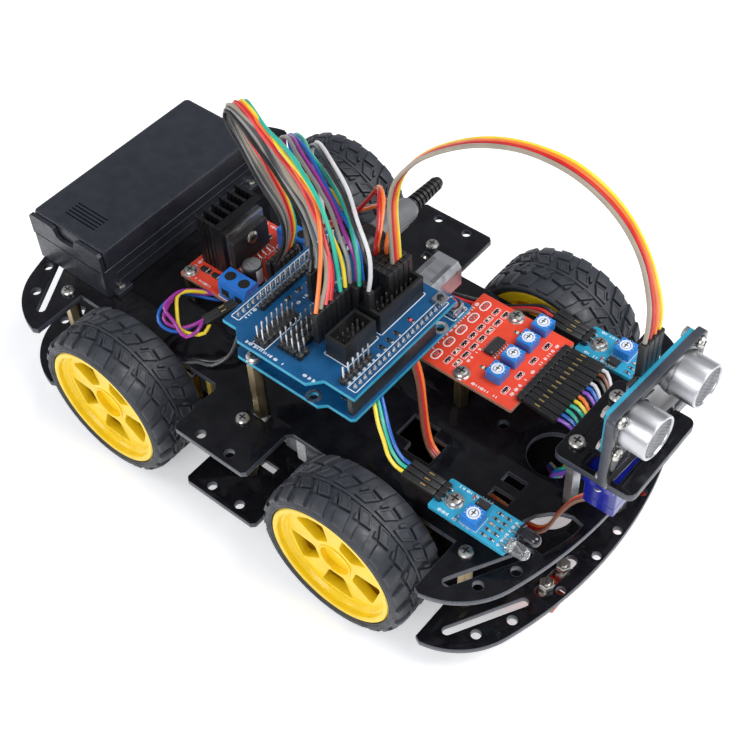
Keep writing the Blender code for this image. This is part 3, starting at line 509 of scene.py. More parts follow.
def plug(shape, start, direction, count=1, across=(0, 1, 0)):
    """A row of single black crimp housings: start is the middle of the first one's open end."""
    ahead = Vector(direction).normalized()
    beside = Vector(across).normalized()
    above = ahead.cross(beside)
    kept = shape.place
    for i in range(count):
        middle = Vector(start) + beside * PIN_PITCH * i
        frame_of = Matrix((beside, above, ahead)).transposed().to_4x4()
        shape.place = kept @ Matrix.Translation(middle) @ frame_of
        half = 1.22
        shape.housing((-half, half), (-half, half),
                      [(0.15, 0), (0, 0.3), (0, PLUG_LENGTH - 0.4), (0.35, PLUG_LENGTH)], BLACK, 0.45)
        # The latch window is a near-black block of painted shade inside the opening, with the gold contact on
        # it.
        shape.block((-0.55, 0.55), (half - 0.05, half + 0.06), (3.6, 7.2), PAINTED_SHADE)
        shape.block((-0.28, 0.28), (half - 0.02, half + 0.09), (4.2, 6.4), GOLD)
    shape.place = kept


def resistor(shape, x, y, z, turn=0.0, length=2.0, width=1.25, body=None):
    """A two-ended surface part on its solder pads."""
    kept = shape.place
    shape.place = kept @ Matrix.Translation((x, y, z)) @ Matrix.Rotation(turn, 4, "Z")
    half = length / 2
    for side in (-1, 1):
        shape.soft_block(tuple(sorted((side * (half - 0.35), side * (half + 0.55)))),
                         (-width / 2 - 0.15, width / 2 + 0.15), (0, 0.28), TIN, 0.12)
        shape.soft_block(tuple(sorted((side * (half - 0.4), side * half))),
                         (-width / 2, width / 2), (0.1, 0.58), TIN, 0.1)
    shape.soft_block((-half + 0.35, half - 0.35), (-width / 2, width / 2), (0.05, 0.62), body or CHIP, 0.08)
    shape.place = kept


def chip(shape, x, y, z, turn, length, width, legs, height=1.5):
    """A small outline package with its gull-wing legs."""
    kept = shape.place
    shape.place = kept @ Matrix.Translation((x, y, z)) @ Matrix.Rotation(turn, 4, "Z")
    shape.housing((-length / 2, length / 2), (-width / 2, width / 2),
                  [(0.12, 0.15), (0, height * 0.5), (0.18, height)], CHIP, 0.3)
    shape.disc(-length / 2 + 0.9, -width / 2 + 0.9, 0.35, height, height + 0.02, GREY, 14)
    for i in range(legs):
        lx = (i - (legs - 1) / 2) * 1.27
        for side in (-1, 1):
            for inner, outer, low, high in ((0.0, 0.75, 0.55, 0.72), (0.65, 0.85, 0.05, 0.72),
                                            (0.7, 1.5, 0, 0.16)):
                edge = sorted((side * (width / 2 + inner - 0.05), side * (width / 2 + outer)))
                shape.block((lx - 0.2, lx + 0.2), tuple(edge), (low, high), TIN)
    shape.place = kept


def frame_lines(shape, x, y, z, width=0.16):
    """A rectangle drawn in white lines on a board."""
    for level in y:
        shape.block((x[0] - width, x[1] + width), (level - width, level + width), (z, z + 0.05), SILK)
    for level in x:
        shape.block((level - width, level + width), (y[0] - width, y[1] + width), (z, z + 0.05), SILK)


def marks(shape, x, y, z, count, along=(1, 0), size=0.9, gap=1.5):
    """Short white strokes that stand for printed pin names."""
    ax, ay = along
    for i in range(count):
        px, py = x + gap * i * ax, y + gap * i * ay
        for k in range(3):
            if random.random() < 0.3:
                continue
            step = (k - 1) * size * 0.42
            wide, tall = (size * 0.13, size * 0.5) if k % 2 else (size * 0.12, size * 0.36)
            cx, cy = px + step * ax, py + step * ay
            shape.block((cx - (wide if ax else tall), cx + (wide if ax else tall)),
                        (cy - (tall if ax else wide), cy + (tall if ax else wide)), (z, z + 0.05), SILK)


def board_slab(name, outline, holes, z, face, edge, body, replaces):
    """A circuit board's laminate, with its screw holes cut."""
    mesh = sheet_mesh(name, outline, [circle(*h) for h in holes], z, z + BOARD, face, edge, 0.05)
    return piece(name, mesh, body, replaces)


def ring(shape, x, y, inner, outer, z, material):
    """A thin flat ring on a board."""
    shape.turned([(inner, z), (outer, z), (outer, z + 0.06), (inner, z + 0.06)], material, 28, x, y, True)


# ---- decks and their pillars ----

def deck_outline():
    """A waist between four wheel wells, two side tabs and a curved nose and tail."""
    main_x = HALF_LENGTH - NOSE_ARC_R
    reach = math.asin(SHOULDER_Y / NOSE_ARC_R)
    shoulder_x = main_x + (NOSE_ARC_R - SHOULDER_R) * math.cos(reach)
    shoulder_y = (NOSE_ARC_R - SHOULDER_R) * math.sin(reach)
    tip = math.acos((WING_X + 0.9 - shoulder_x) / SHOULDER_R)
    quarter = []
    for i in range(25):
        a = reach * i / 24
        quarter.append((main_x + NOSE_ARC_R * math.cos(a), NOSE_ARC_R * math.sin(a)))
    for i in range(1, 24):
        a = reach + (tip - reach) * i / 24
        quarter.append((shoulder_x + SHOULDER_R * math.cos(a), shoulder_y + SHOULDER_R * math.sin(a)))
    quarter += [(WING_X, HALF_WIDTH - 1.6), (WING_X, WAIST), (TAB_HALF + 2, WAIST)]
    quarter += [(TAB_HALF, WAIST + 2), (TAB_HALF, HALF_WIDTH - 1.5), (TAB_HALF - 1.5, HALF_WIDTH)]
    half = quarter + [(-x, y) for x, y in reversed(quarter)]
    return half + [(x, -y) for x, y in reversed(half[1:-1])]


def shared_holes():
    """The holes that both decks have."""
    holes = [circle(*CABLE_HOLE, 10.0, 48)]
    for sx in (-1, 1):
        for sy in (-1, 1):
            holes.append(stadium((sx * 100.9, sy * 64.7), (sx * 115.4, sy * 38.9), 1.75))
            for x, y in ((109.7, 59.6), (116.4, 47.3), (7.1, 70.7)):
                holes.append(circle(sx * x, sy * y, 1.9, 20))
    for sy in (-1, 1):
        holes.append(rectangle((0.3, 7.6), (sy * 50.6 - 1.6, sy * 50.6 + 1.6)))
    return holes


def decks():
    """The two acrylic decks, of one outline, and the holes cut in each."""
    floor_holes = [circle(125.0 if abs(y) < 10 else 123.0, y, 1.7, 16) for y in (-7.0, 6.8, -27.0, 27.0)]
    floor_holes += [stadium((117.6, sy * 31.5), (118.9, sy * 14.5), 2.2) for sy in (-1, 1)]
    mesh = sheet_mesh("lower_deck", deck_outline(), shared_holes() + floor_holes, FLOOR_LOW, FLOOR_HIGH,
                      ACRYLIC, ACRYLIC_EDGE)
    piece("lower_deck", mesh, "chassis", ("lower_plate",))
    cross = [(48.8, -26.8), (55.4, -26.8), (55.4, -30.6), (66.6, -30.6), (66.6, -20.0),
             (60.4, -20.0), (60.4, -15.8), (48.8, -15.8)]
    holes = [cross, circle(76.9, 0.0, 2.0, 16)]
    for sy in (-1, 1):
        holes += [rectangle((90.6, 98.9), (sy * y - 2.15, sy * y + 2.15)) for y in (26.0, 18.0)]
        corners = [(106.5, 29.5), (109.0, 34.5), (113.5, 36.3), (119.4, 36.8), (121.3, 31.5), (122.6, 27.0),
                   (123.4, 22.5), (123.6, 18.5), (119.0, 17.5), (115.4, 18.7), (112.0, 21.0), (108.6, 24.8)]
        holes.append([(x, sy * y) for x, y in corners])
        holes.append(circle(125.0, sy * 7.5, 1.7, 16))
    mesh = sheet_mesh("upper_deck", deck_outline(), shared_holes() + holes, DECK_LOW, DECK, ACRYLIC,
                      ACRYLIC_EDGE)
    piece("upper_deck", mesh, "chassis", ("upper_plate",))


def deck_pillars():
    """The six pillars between the decks and the screws at their ends."""
    for place, (x, y) in zip(("front", "middle", "rear"), DECK_SCREWS):
        for side, sy in (("right", -1), ("left", 1)):
            shape = Shape()
            pillar(shape, x, sy * y, FLOOR_HIGH, DECK_LOW)
            screw(shape, x, sy * y, DECK)
            under_screw(shape, x, sy * y, FLOOR_LOW)
            name = f"pillar_{place}_{side}"
            shape.piece(name, "chassis", "brass", (f"plate_standoff_{place}_{side}",))


# ---- wheels and motors ----

def inset(outline, distance):
    """An outline moved inwards. Its points run anticlockwise."""
    moved = []
    for i, point in enumerate(outline):
        before, after = Vector(outline[i - 1]), Vector(outline[(i + 1) % len(outline)])
        here = Vector(point)
        first, second = (here - before).normalized(), (after - here).normalized()
        normal = (Vector((-first.y, first.x)) + Vector((-second.y, second.x)))
        scale = max(0.45, normal.length_squared / 2)
        moved.append(tuple(here + normal * (distance / scale)))
    return moved


def crown(z):
    """The tread's radius at this distance from the tyre's inner face."""
    off = max(0.0, abs(z - TYRE_WIDTH / 2) - 7.0) / (TYRE_WIDTH / 2 - 7.0)
    return TYRE_R - 1.9 * off ** 2.2


def tread_block(shape, outline, turn, hollow):
    """A block of the tread. Its outline is (millimetres round the tyre, distance from the inner face)."""
    levels = [(0, -1.9), (0, -0.35), (0.18, -0.05), (0.5, 0)]
    if hollow:
        levels += [(0.75, 0), (0.95, -0.4)]
    rings = []
    for step, depth in levels:
        ring_points = []
        for u, z in inset(outline, step):
            a = turn + u / TYRE_R
            radius = crown(z) + depth
            ring_points.append((radius * math.cos(a), radius * math.sin(a), z))
        rings.append(ring_points)
    shape.rings(rings, RUBBER)


def tread_outlines():
    """The blocks of one pitch on the inner half: shoulder, chevron and spine."""
    pitch = 2 * math.pi * TYRE_R / PITCHES
    shoulder = [(0.5, 0.9), (pitch * 0.62, 0.9), (pitch * 0.74, 3.4), (pitch * 0.80, 6.2),
                (pitch * 0.28, 7.0),
                (pitch * 0.18, 4.0)]
    chevron = [(pitch * 0.32, 7.9), (pitch * 0.86, 7.1), (pitch * 1.22, 11.9), (pitch * 0.70, 12.2)]
    tooth = [(pitch * 0.93, 7.2), (pitch * 1.10, 6.9), (pitch * 1.20, 9.0), (pitch * 1.10, 9.6)]
    return (shoulder, False), (chevron, True), (tooth, False)


def tyre_mesh():
    """The carcass, two sidewall beads and the tread blocks."""
    shape = Shape()
    shape.turned([(27.0, 2.3), (27.0, 0.7), (27.6, 0.3), (28.6, 0.05), (29.3, 0.2), (29.9, 0.75), (30.3, 1.6),
                  (30.7, 3.2), (TREAD_BASE_R - 0.1, 6.5), (TREAD_BASE_R, 9.5), (TREAD_BASE_R, 12.3),
                  (TYRE_R - 0.5, 12.5), (TYRE_R - 0.5, 13.5), (TREAD_BASE_R, 13.7), (TREAD_BASE_R, 16.5),
                  (TREAD_BASE_R - 0.1, 19.5), (30.7, 22.8), (30.3, 24.4), (29.9, 25.25), (29.3, 25.8),
                  (28.6, 25.95), (27.6, 25.7), (27.0, 25.3), (27.0, 23.7), (25.0, 23.4), (25.0, 2.6)],
                 RUBBER, 110, closed=True)
    for radius in (27.9, 29.0):
        for z in (0.12, 25.88):
            shape.turned([(radius - 0.18, z - 0.1), (radius + 0.18, z - 0.1), (radius + 0.18, z + 0.1),
                          (radius - 0.18, z + 0.1)], RUBBER, 90, closed=True)
    for i in range(PITCHES):
        turn = 2 * math.pi * i / PITCHES
        for outline, hollow in tread_outlines():
            tread_block(shape, outline, turn, hollow)
            mirrored = [(u, TYRE_WIDTH - z) for u, z in reversed(outline)]
            tread_block(shape, mirrored, turn + math.pi / PITCHES, hollow)
    return shape.mesh("tyre")


def window_outline(turn):
    """A rounded window between two spokes."""
    corners = [(9.6, -0.36), (20.9, -0.36), (20.9, 0.36), (9.6, 0.36)]
    radii = (1.4, 2.2, 2.2, 1.4)
    sharp = [Vector((r * math.cos(turn + a), r * math.sin(turn + a))) for r, a in corners]
    outline = []
    for i, corner in enumerate(sharp):
        before = (sharp[i - 1] - corner).normalized() * radii[i]
        after = (sharp[(i + 1) % 4] - corner).normalized() * radii[i]
        for k in range(7):
            t = k / 6
            outline.append(tuple(corner + before * (1 - t) ** 2 + after * t ** 2))
    return outline


def rim_mesh():
    """The rim with five windows in its face, its hub and ribs."""
    shape = Shape()
    shape.turned([(22.7, 0.4), (22.7, 21.0), (22.3, 21.6), (22.3, 22.0), (22.6, 22.3), (23.2, 23.3),
                  (24.2, 23.5),
                  (24.4, 25.0), (24.8, 25.4), (26.3, 25.4), (26.7, 25.0), (26.7, 24.0), (24.7, 23.7), (24.7,
                                                                                                       2.3),
                  (26.7, 2.0), (26.7, 0.7), (26.4, 0.4)], YELLOW, 96, closed=True)
    shape.turned([(3.0, -2.0), (6.6, -2.0), (6.6, 18.2), (3.0, 18.2)], YELLOW, 48, closed=True)
    shape.turned([(6.7, 18.0), (6.7, 20.0), (0, 20.0)][::-1] + [(6.7, 18.0), (0, 18.0)], YELLOW, 48)
    shape.turned([(6.5, 20.0), (7.4, 20.0), (7.4, 22.25), (7.2, 22.45), (6.8, 22.45), (6.5, 22.15)],
                 YELLOW, 64, closed=True)
    for i in range(SPOKES):
        a = 2 * math.pi * i / SPOKES + math.pi / 2
        shape.place = Matrix.Rotation(a, 4, "Z")
        shape.block((6.6, 22.5), (-0.7, 0.7), (10.0, 18.5), YELLOW)
    hub = shape.mesh("rim_hub")
    windows = [window_outline(2 * math.pi * (i + 0.5) / SPOKES + math.pi / 2) for i in range(SPOKES)]
    face = sheet_mesh("rim", circle(0, 0, 22.7, 96), [circle(0, 0, 6.6, 48), *windows], 18.0, 22.0,
                      YELLOW, YELLOW, 0.35)
    joined = bmesh.new()
    joined.from_mesh(face)
    for polygon in joined.faces:
        polygon.material_index = 0
    joined.from_mesh(hub)
    joined.to_mesh(face)
    joined.free()
    face.shade_smooth()
    face.set_sharp_from_angle(angle=math.radians(32))
    return face


def wheels():
    """A tyre, a rim and a drive shaft on each wheel's body."""
    tyre, rim = tyre_mesh(), rim_mesh()
    for corner, (sx, sy) in CORNERS.items():
        upright = Matrix.Rotation(math.radians(-90 * sy), 4, "X")
        place = Matrix.Translation(Vector((sx * WHEEL_X, sy * TYRE_FACE_Y, AXLE_Z)) * MM) @ upright
        body = f"wheel_{corner}"
        piece(f"tread_tyre_{corner}", tyre, body, (f"tyre_{corner}",), place=place)
        piece(f"spoked_rim_{corner}", rim, body, (f"wheel_rim_{corner}",), place=place)
        shape = Shape()
        shape.place = place_in_mm(place)
        shape.turned([(2.0, -27.5), (2.7, -27.0), (2.7, 13.4), (2.2, 14.0)], NYLON, 24)
        shape.disc(0, 0, 5.0, -5.8, -4.9, NYLON)
        shape.piece(f"drive_shaft_{corner}", body, "white_nylon", (f"axle_shaft_{corner}",))


def place_in_mm(place):
    """A placement in metres as one in millimetres."""
    scaled = place.copy()
    scaled.translation /= MM
    return scaled


def motors():
    """Each corner's gearbox, motor can, strap, flange plate and bolts."""
    for corner, (sx, sy) in CORNERS.items():
        lying = Matrix.Rotation(math.radians(-90 * sy), 4, "X")
        place = Matrix.Translation(Vector((sx * WHEEL_X, sy * MOTOR_Y, AXLE_Z))) @ lying
        shape = Shape()
        shape.place = place
        half = 9.1
        profile = rounded((-11.4, 25.6), (-11.2, 11.2), 5.0, 8)
        outline = [(-sx * x, y) for x, y in profile]
        if sx > 0:
            outline.reverse()
        for low, high in ((-half, -0.15), (0.15, half)):
            trim = 0.6
            rings = []
            for step, z in ((trim, low), (0, low + trim), (0, high - trim), (trim, high)):
                if z not in (low, high) or abs(abs(z) - half) < 1e-6:
                    rings.append([(x, y, z) for x, y in inset(outline, step)])
            shape.rings(rings, YELLOW)
        shape.rings([[(x, y, z) for x, y in inset(outline, 0.5)] for z in (-0.2, 0.2)], YELLOW)
        shape.turned([(4.6, -half - 0.9), (5.2, -half - 0.6), (5.2, half + 0.6), (4.6, half + 0.9),
                      (3.1, half + 0.9), (3.1, -half - 0.9)], YELLOW, 40, closed=True)
        for bx, by in ((-8.0, 7.6), (-8.0, -7.6), (9.5, 8.6), (9.5, -8.6)):
            kept = shape.place
            shape.place = place @ Matrix.Translation((-sx * bx, by, 0))
            shape.turned([(1.9, half - 0.2), (1.9, half + 0.8), (1.1, half + 1.1)], STEEL, 20)
            shape.turned([(1.9, -half - 0.9), (1.9, -half + 0.2)], STEEL, 20)
            shape.place = kept
        for low, high in ((-4.4, -3.4), (3.4, 4.4)):
            shape.block(tuple(sorted((-sx * 13.0, -sx * 24.6))), (-11.5, 11.5), (low, high), YELLOW)
        shape.piece(f"gearbox_{corner}", "chassis", "yellow_plastic", (f"gear_motor_{corner}",), 0.15)
        can = Shape()
        can.place = place @ Matrix.Rotation(math.radians(-90 * sx), 4, "Y")
        outline = []
        for x, y in circle(0, 0, 10.0, 72):
            outline.append((max(-7.6, min(7.6, x)), y))
        can.rings([[(x * s, y * s, z) for x, y in outline]
                   for s, z in ((1, 23.0), (1, CAN_END - 0.5), (0.95, CAN_END), (0.6, CAN_END))], STEEL)
        can.turned([(3.4, 51.2), (3.4, 52.2), (3.0, 52.8), (1.1, 52.8), (1.1, 54.6), (0.6, 55.2)], STEEL, 24)
        can.housing((-6.6, 6.6), (-8.8, 8.8), [(0, 51.3), (0, 53.2), (0.5, 53.7)], NYLON, 3.0)
        for y in (-6.4, 6.4):
            can.block((-1.6, 1.6), (y - 0.3, y + 0.3), (53.0, 56.0), TIN)
        can.piece(f"motor_can_{corner}", "chassis", "silver_metal")
        strap = Shape()
        strap.place = can.place
        outer = rounded((-8.4, 8.4), (-10.6, 10.6), 3.2)
        inner = rounded((-7.8, 7.8), (-10.1, 10.1), 2.8)
        strap.rings([[(x, y, 40.0) for x, y in outer], [(x, y, 44.4) for x, y in outer],
                     [(x, y, 44.4) for x, y in inner], [(x, y, 40.0) for x, y in inner]], STRAP, closed=True)
        strap.piece(f"motor_strap_{corner}", "chassis", "clear_plastic", edge=0.1)
        flange = Shape()
        flange.place = place
        mid = -sx * 20.5
        flange.block((mid - 5, mid + 5), (-15.5, 13.7), (half + 0.2, half + 3.0), ACRYLIC)
        flange.piece(f"motor_flange_{corner}", "chassis", "black_acrylic", edge=0.2)
        bolts = Shape()
        bolts.place = place
        for by in (-8.6, 8.6):
            bolts.turned([(2.7, half + 2.8), (2.8, half + 3.2), (2.6, half + 4.4), (1.2, half + 5.0)], NICKEL,
                         24,
                         mid, by)
            bolts.disc(mid, by, 1.5, -half - 3.4, -half + 1, NICKEL)
            bolts.turned([(2.6, -half - 2.7), (3.0, -half - 2.4), (3.0, -half - 0.4), (2.6, -half - 0.1)],
                         NICKEL, 6,
                         mid, by)
        bolts.piece(f"motor_bolts_{corner}", "chassis", "silver_metal")


# ---- battery ----

def battery():
    """The battery case, its sliding lid and the two cells in it."""
    (x0, x1), (y0, y1), seam, top = BATTERY_X, BATTERY_Y, 65.0, 74.4
    floor, wall = DECK + 0.3, 1.8
    near = y0 + wall + 0.3
    tray = Shape()
    outer = rounded((x0, x1), (y0, y1), 1.6)
    inner = rounded((x0 + wall, x1 - wall), (y0 + wall, y1 - wall), 0.9)
    tray.rings([[(x, y, floor) for x, y in outer], [(x, y, seam - 0.25) for x, y in outer],
                [(x, y, seam) for x, y in inset_rounded((x0, x1), (y0, y1), 0.25, 1.4)],
                [(x, y, seam) for x, y in inner], [(x, y, floor + wall) for x, y in inner]], CASE)
    end = [(x0 + 0.3, seam - 1), (x1 - 0.3, seam - 1), (x1 - 0.3, top - 1.2), (x1 - 1.5, top),
           (x1 - 13.0, top), (x1 - 14.4, top - 0.6), (x1 - 16.0, top - 4.6), (x1 - 17.6, top - 5.2),
           (x0 + 17.6, top - 5.2), (x0 + 16.0, top - 4.6), (x0 + 14.4, top - 0.6), (x0 + 13.0, top),
           (x0 + 1.5, top), (x0 + 0.3, top - 1.2)]
    tray.rings([[(x, y, z) for x, z in end] for y in (y0, y0 + wall)], CASE)
    for x in (x0 + 8.0, (x0 + x1) / 2, x1 - 8.0):
        tray.block((x - 0.45, x + 0.45), (y0 - 0.02, y0 + 0.6), (floor, seam - 1.5), CASE)
    for z in (floor + 4.5, floor + 9.0):
        tray.block((x1 - 0.4, x1 + 0.28), (y0 + 6, y1 - 6), (z, z + 0.7), CASE)
        tray.block((x0 - 0.28, x0 + 0.4), (y0 + 6, y1 - 6), (z, z + 0.7), CASE)
    tray.soft_block((x1 - 1.5, x1 + 3.2), (-42.0, -34.0), (DECK + 0.05, DECK + 2.4), CASE)
    tray.soft_block((x1 - 1.5, x1 + 3.2), (34.0, 42.0), (DECK + 0.05, DECK + 2.4), CASE)
    for y in (-38.0, 38.0):
        screw(tray, x1 + 0.9, y, DECK + 2.3, 1.6, 1.2)
    tray.block((-104.0, -102.8), (y0 + wall, y1 - wall), (floor + 1, seam - 2), CASE)
    for x, flip in ((-93.9, 1), (-112.9, -1)):
        for end_y, sign in ((y0 + wall, 1), (y1 - wall, -1)):
            tray.block((x - 3.2, x + 3.2), tuple(sorted((end_y, end_y + sign * 0.5))),
                       (floor + 4, floor + 17), TIN)
            if sign == flip:
                coil = [(x + 2.6 * math.cos(t * 0.7), end_y + sign * (0.4 + 0.16 * t),
                         62.3 + 2.6 * math.sin(t * 0.7)) for t in range(1, 40)]
                coil = [(cx, end_y + sign * 0.06 * i, cz) for i, (cx, _, cz) in enumerate(coil)]
                tray.tube(coil, 0.28, TIN, 6)
    tray.piece("battery_tray", "chassis", "case_plastic", ("battery_case",), 0.12)
    lid = Shape()
    levels = [(0, seam + 0.3), (0, top - 1.5), (0.45, top - 0.45), (1.5, top)]
    rings = []
    for step, z in levels:
        rings.append([(x, y, z) for x, y in inset_rounded((x0, x1), (near, y1), step, 2.4)])
    under = [(wall, top - wall), (wall, seam + 0.3)]
    skins = [[(x, y, z) for x, y in inset_rounded((x0, x1), (near, y1), step, 2.4)] for step, z in under]
    lid.rings([skins[1], *rings], CASE)
    for y in range(5):
        offset = near + 7.0 + 1.7 * y
        lid.soft_block((x0 + 12, x1 - 12), (offset, offset + 0.7), (top - 0.2, top + 0.0), CASE, 0.1, 0.3)
    lid.piece("battery_lid_panel", "battery_lid", "case_plastic", ("battery_cover",), 0.1)
    for name, x in (("front", -93.9), ("rear", -112.9)):
        sign = 1 if name == "front" else -1
        cell = Shape()
        cell.place = Matrix.Translation((x, 0.4, 62.3)) @ Matrix.Rotation(math.radians(-90 * sign), 4, "X")
        cell.turned([(8.2, -32.5), (8.9, -32.1), (9.0, -31.5), (9.0, 31.2), (8.7, 32.2), (7.2, 32.5)], CELL,
                    56)
        cell.turned([(7.4, -32.62), (7.4, -32.3)], TIN, 40)
        cell.turned([(5.8, 32.3), (5.8, 32.7), (2.7, 32.9), (2.7, 33.8), (2.3, 34.0)], TIN, 32)
        for z in (-20.0, 22.0):
            cell.turned([(9.0, z), (9.04, z), (9.04, z + 1.4), (9.0, z + 1.4)], SILK, 56, closed=True)
        cell.piece(f"cell_{name}", "chassis", "cell_wrap", (f"battery_cell_{name}",))


def inset_rounded(x, y, step, radius):
    """A round-cornered rectangle moved inwards by a step."""
    return rounded((x[0] + step, x[1] - step), (y[0] + step, y[1] - step), max(0.2, radius - step))


# ---- boards on the rear half ----

def motor_driver():
    """The red driver board: two terminals, the bridge chip on its finned heatsink and a pin header."""
    (x0, x1), (y0, y1), z = DRIVER
    holes = [(x, y, 1.5) for x in (x0 + 3, x1 - 3) for y in (y0 + 3, y1 - 3)]
    board_slab("driver_laminate", rounded((x0, x1), (y0, y1), 1.0), holes, z, RED_MASK, RED_EDGE, "chassis",
               ("motor_driver_board",))
    top = z + BOARD
    fixings = Shape()
    for x, y, _ in holes:
        pillar(fixings, x, y, DECK, z)
        screw(fixings, x, y, top, 2.7, 1.7)
        ring(fixings, x, y, 1.6, 3.1, top, TIN)
    fixings.piece("driver_pillars", "chassis", "brass")
    parts = Shape()
    for ty, outward in (((y0 + 0.5, y0 + 8.5), -1), ((y1 - 8.5, y1 - 0.5), 1)):
        terminal(parts, (-43.5, -29.5), ty, top, outward, 2)
    for cx, cy in ((-37.6, -7.6), (-31.2, 7.4)):
        capacitor(parts, cx, cy, top, 4.0, 10.5)
    for dy in (-8.5, -3.0, 2.5, 8.0):
        for dx in (-57.5, -51.0):
            resistor(parts, dx, dy, top, math.pi / 2, 4.2, 2.4)
    for dy in (-14.5, 14.5):
        for dx in (-57.5, -51.5):
            resistor(parts, dx, dy, top, 0, 4.2, 2.4)
            parts.block((dx + 1.0, dx + 1.3), (dy - 1.2, dy + 1.2), (top + 0.6, top + 0.65), SILK)
    for k in range(5):
        resistor(parts, -47.0 + 1.9 * k, -11.8, top, math.pi / 2, 1.6, 0.8)
        resistor(parts, -42.5 + 1.9 * k, 11.0, top, math.pi / 2, 1.6, 0.8)
    chip(parts, -24.2, 17.0, top, math.pi / 2, 3.0, 2.4, 2, 1.2)
    parts.piece("driver_parts", "chassis", "silver_metal")
    bridge = Shape()
    bridge.housing((-47.8, -44.4), (-9.8, 9.8),
                   [(0.1, top + 4.5), (0, top + 12), (0.15, top + 17.6), (0.5, top + 18)],
                   CHIP, 0.4)
    bridge.block((-48.0, -46.6), (-9.9, 9.9), (top + 5.5, top + 21.6), STEEL)
    bridge.place = Matrix.Translation((-44.3, 0, top + 15.2)) @ Matrix.Rotation(math.pi / 2, 4, "Y")
    screw(bridge, 0, 0, 0, 2.7, 1.6)
    bridge.place = Matrix.Identity(4)
    for i in range(15):
        py = (i - 7) * 1.27
        reach = -42.6 if i % 2 else -45.6
        line = [(-46.0, py, top + 5), (-46.0, py, top + 3.6), (reach, py, top + 2.2), (reach, py, top - 0.6)]
        bridge.tube(line, 0.34, TIN, 6)
    bridge.piece("bridge_chip", "chassis", "black_plastic", edge=0.08)
    sink = Shape()
    low, high = top + 0.3, top + 25
    sink.block((-51.6, -48.1), (-11.6, 11.6), (low, high), ANODISED)
    for i in range(6):
        fin = -11.0 + 22.0 * i / 5
        outline = [(-51.0, fin - 0.62), (-51.0, fin + 0.62), (-61.8, fin + 0.5), (-62.5, fin),
                   (-61.8, fin - 0.5)]
        sink.prism(outline, low, high, ANODISED)
        for k in range(4):
            x = -53.0 - 2.2 * k
            for side in (-1, 1):
                sink.prism(circle(x, fin + side * 0.56, 0.34, 8), low + 0.3, high - 0.3, ANODISED)
    sink.piece("finned_heatsink", "chassis", "black_metal", ("driver_heatsink",), 0.15)
    header = Shape()
    pins(header, -28.5, -6.35, top, 2, 6, 0, 11.5)
    header.piece("driver_header", "chassis", "silver_metal")
    print_marks = Shape()
    frame_lines(print_marks, (-49.2, -43.6), (-11.2, 11.2), top)
    frame_lines(print_marks, (-44.2, -28.8), (y0 + 0.2, y0 + 9.2), top)
    frame_lines(print_marks, (-44.2, -28.8), (y1 - 9.2, y1 - 0.2), top)
    marks(print_marks, -62.5, -17.0, top, 9, (0, 1), 1.4, 2.2)
    marks(print_marks, -60.0, y0 + 1.6, top, 6, (1, 0), 1.3, 1.9)
    marks(print_marks, -60.0, y1 - 1.6, top, 6, (1, 0), 1.3, 1.9)
    for cx, cy in ((-37.6, -7.6), (-31.2, 7.4)):
        ring(print_marks, cx, cy, 4.3, 4.7, top, SILK)
    print_marks.piece("driver_print", "chassis", "blue_board")


def terminal(shape, x, y, top, outward, ways):
    """A screw terminal with its wire mouths on the outward side."""
    low, high = top, top + 10.0
    outline = [(y[0], low), (y[1], low)]
    if outward > 0:
        outline += [(y[1], high - 3.0), (y[1] - 1.4, high), (y[0] + 0.4, high), (y[0], high - 0.6)]
    else:
        outline += [(y[1], high - 0.6), (y[1] - 0.4, high), (y[0] + 1.4, high), (y[0], high - 3.0)]
    shape.rings([[(px, py, pz) for py, pz in outline] for px in x], TERMINAL)
    pitch = (x[1] - x[0]) / ways
    face = y[1] if outward > 0 else y[0]
    for i in range(ways):
        cx = x[0] + pitch * (i + 0.5)
        cy = (y[0] + y[1]) / 2
        # A near-black disc round the screw: painted shade in its well.
        shape.disc(cx, cy, 2.35, high - 0.05, high + 0.02, PAINTED_SHADE)
        screw(shape, cx, cy, high - 1.0, 2.0, 0.9, TIN)
        # The wire mouth is a near-black block on the face: painted shade in the opening.
        mouth = sorted((face - outward * 0.1, face + outward * 0.02))
        shape.block((cx - 2.0, cx + 2.0), tuple(mouth), (low + 1.4, low + 5.6), PAINTED_SHADE)
        cage = sorted((face - outward * 1.0, face + outward * 0.04))
        shape.block((cx - 1.7, cx + 1.7), tuple(cage), (low + 1.7, low + 2.3), TIN)


def capacitor(shape, x, y, low, radius, height):
    """An electrolytic capacitor: a sleeve rolled in at the foot and a scored bare top."""
    shape.turned([(radius * 0.96, low), (radius, low + 0.5), (radius, low + 1.0), (radius * 0.93, low + 1.5),
                  (radius, low + 2.0), (radius, low + height - 0.6), (radius * 0.9, low + height - 0.05)],
                 CHIP, 40, x, y)
    shape.turned([(radius * 0.9, low + height - 0.4), (radius * 0.9, low + height - 0.04),
                  (radius * 0.8, low + height)], STEEL, 40, x, y)
    for turn in (0, math.pi / 2):
        kept = shape.place
        shape.place = kept @ Matrix.Translation((x, y, 0)) @ Matrix.Rotation(turn, 4, "Z")
        shape.block((-radius * 0.6, radius * 0.6), (-0.09, 0.09), (low + height - 0.1, low + height + 0.02),
                    GREY)
        shape.place = kept
    shape.prism([(x + radius * 1.01 * math.cos(a), y + radius * 1.01 * math.sin(a))
                 for a in (-0.45, -0.2, 0.0, 0.2, 0.45)] + [(x, y)], low + 2.2, low + height - 0.9, SILK)


# ---- controller, shield ----

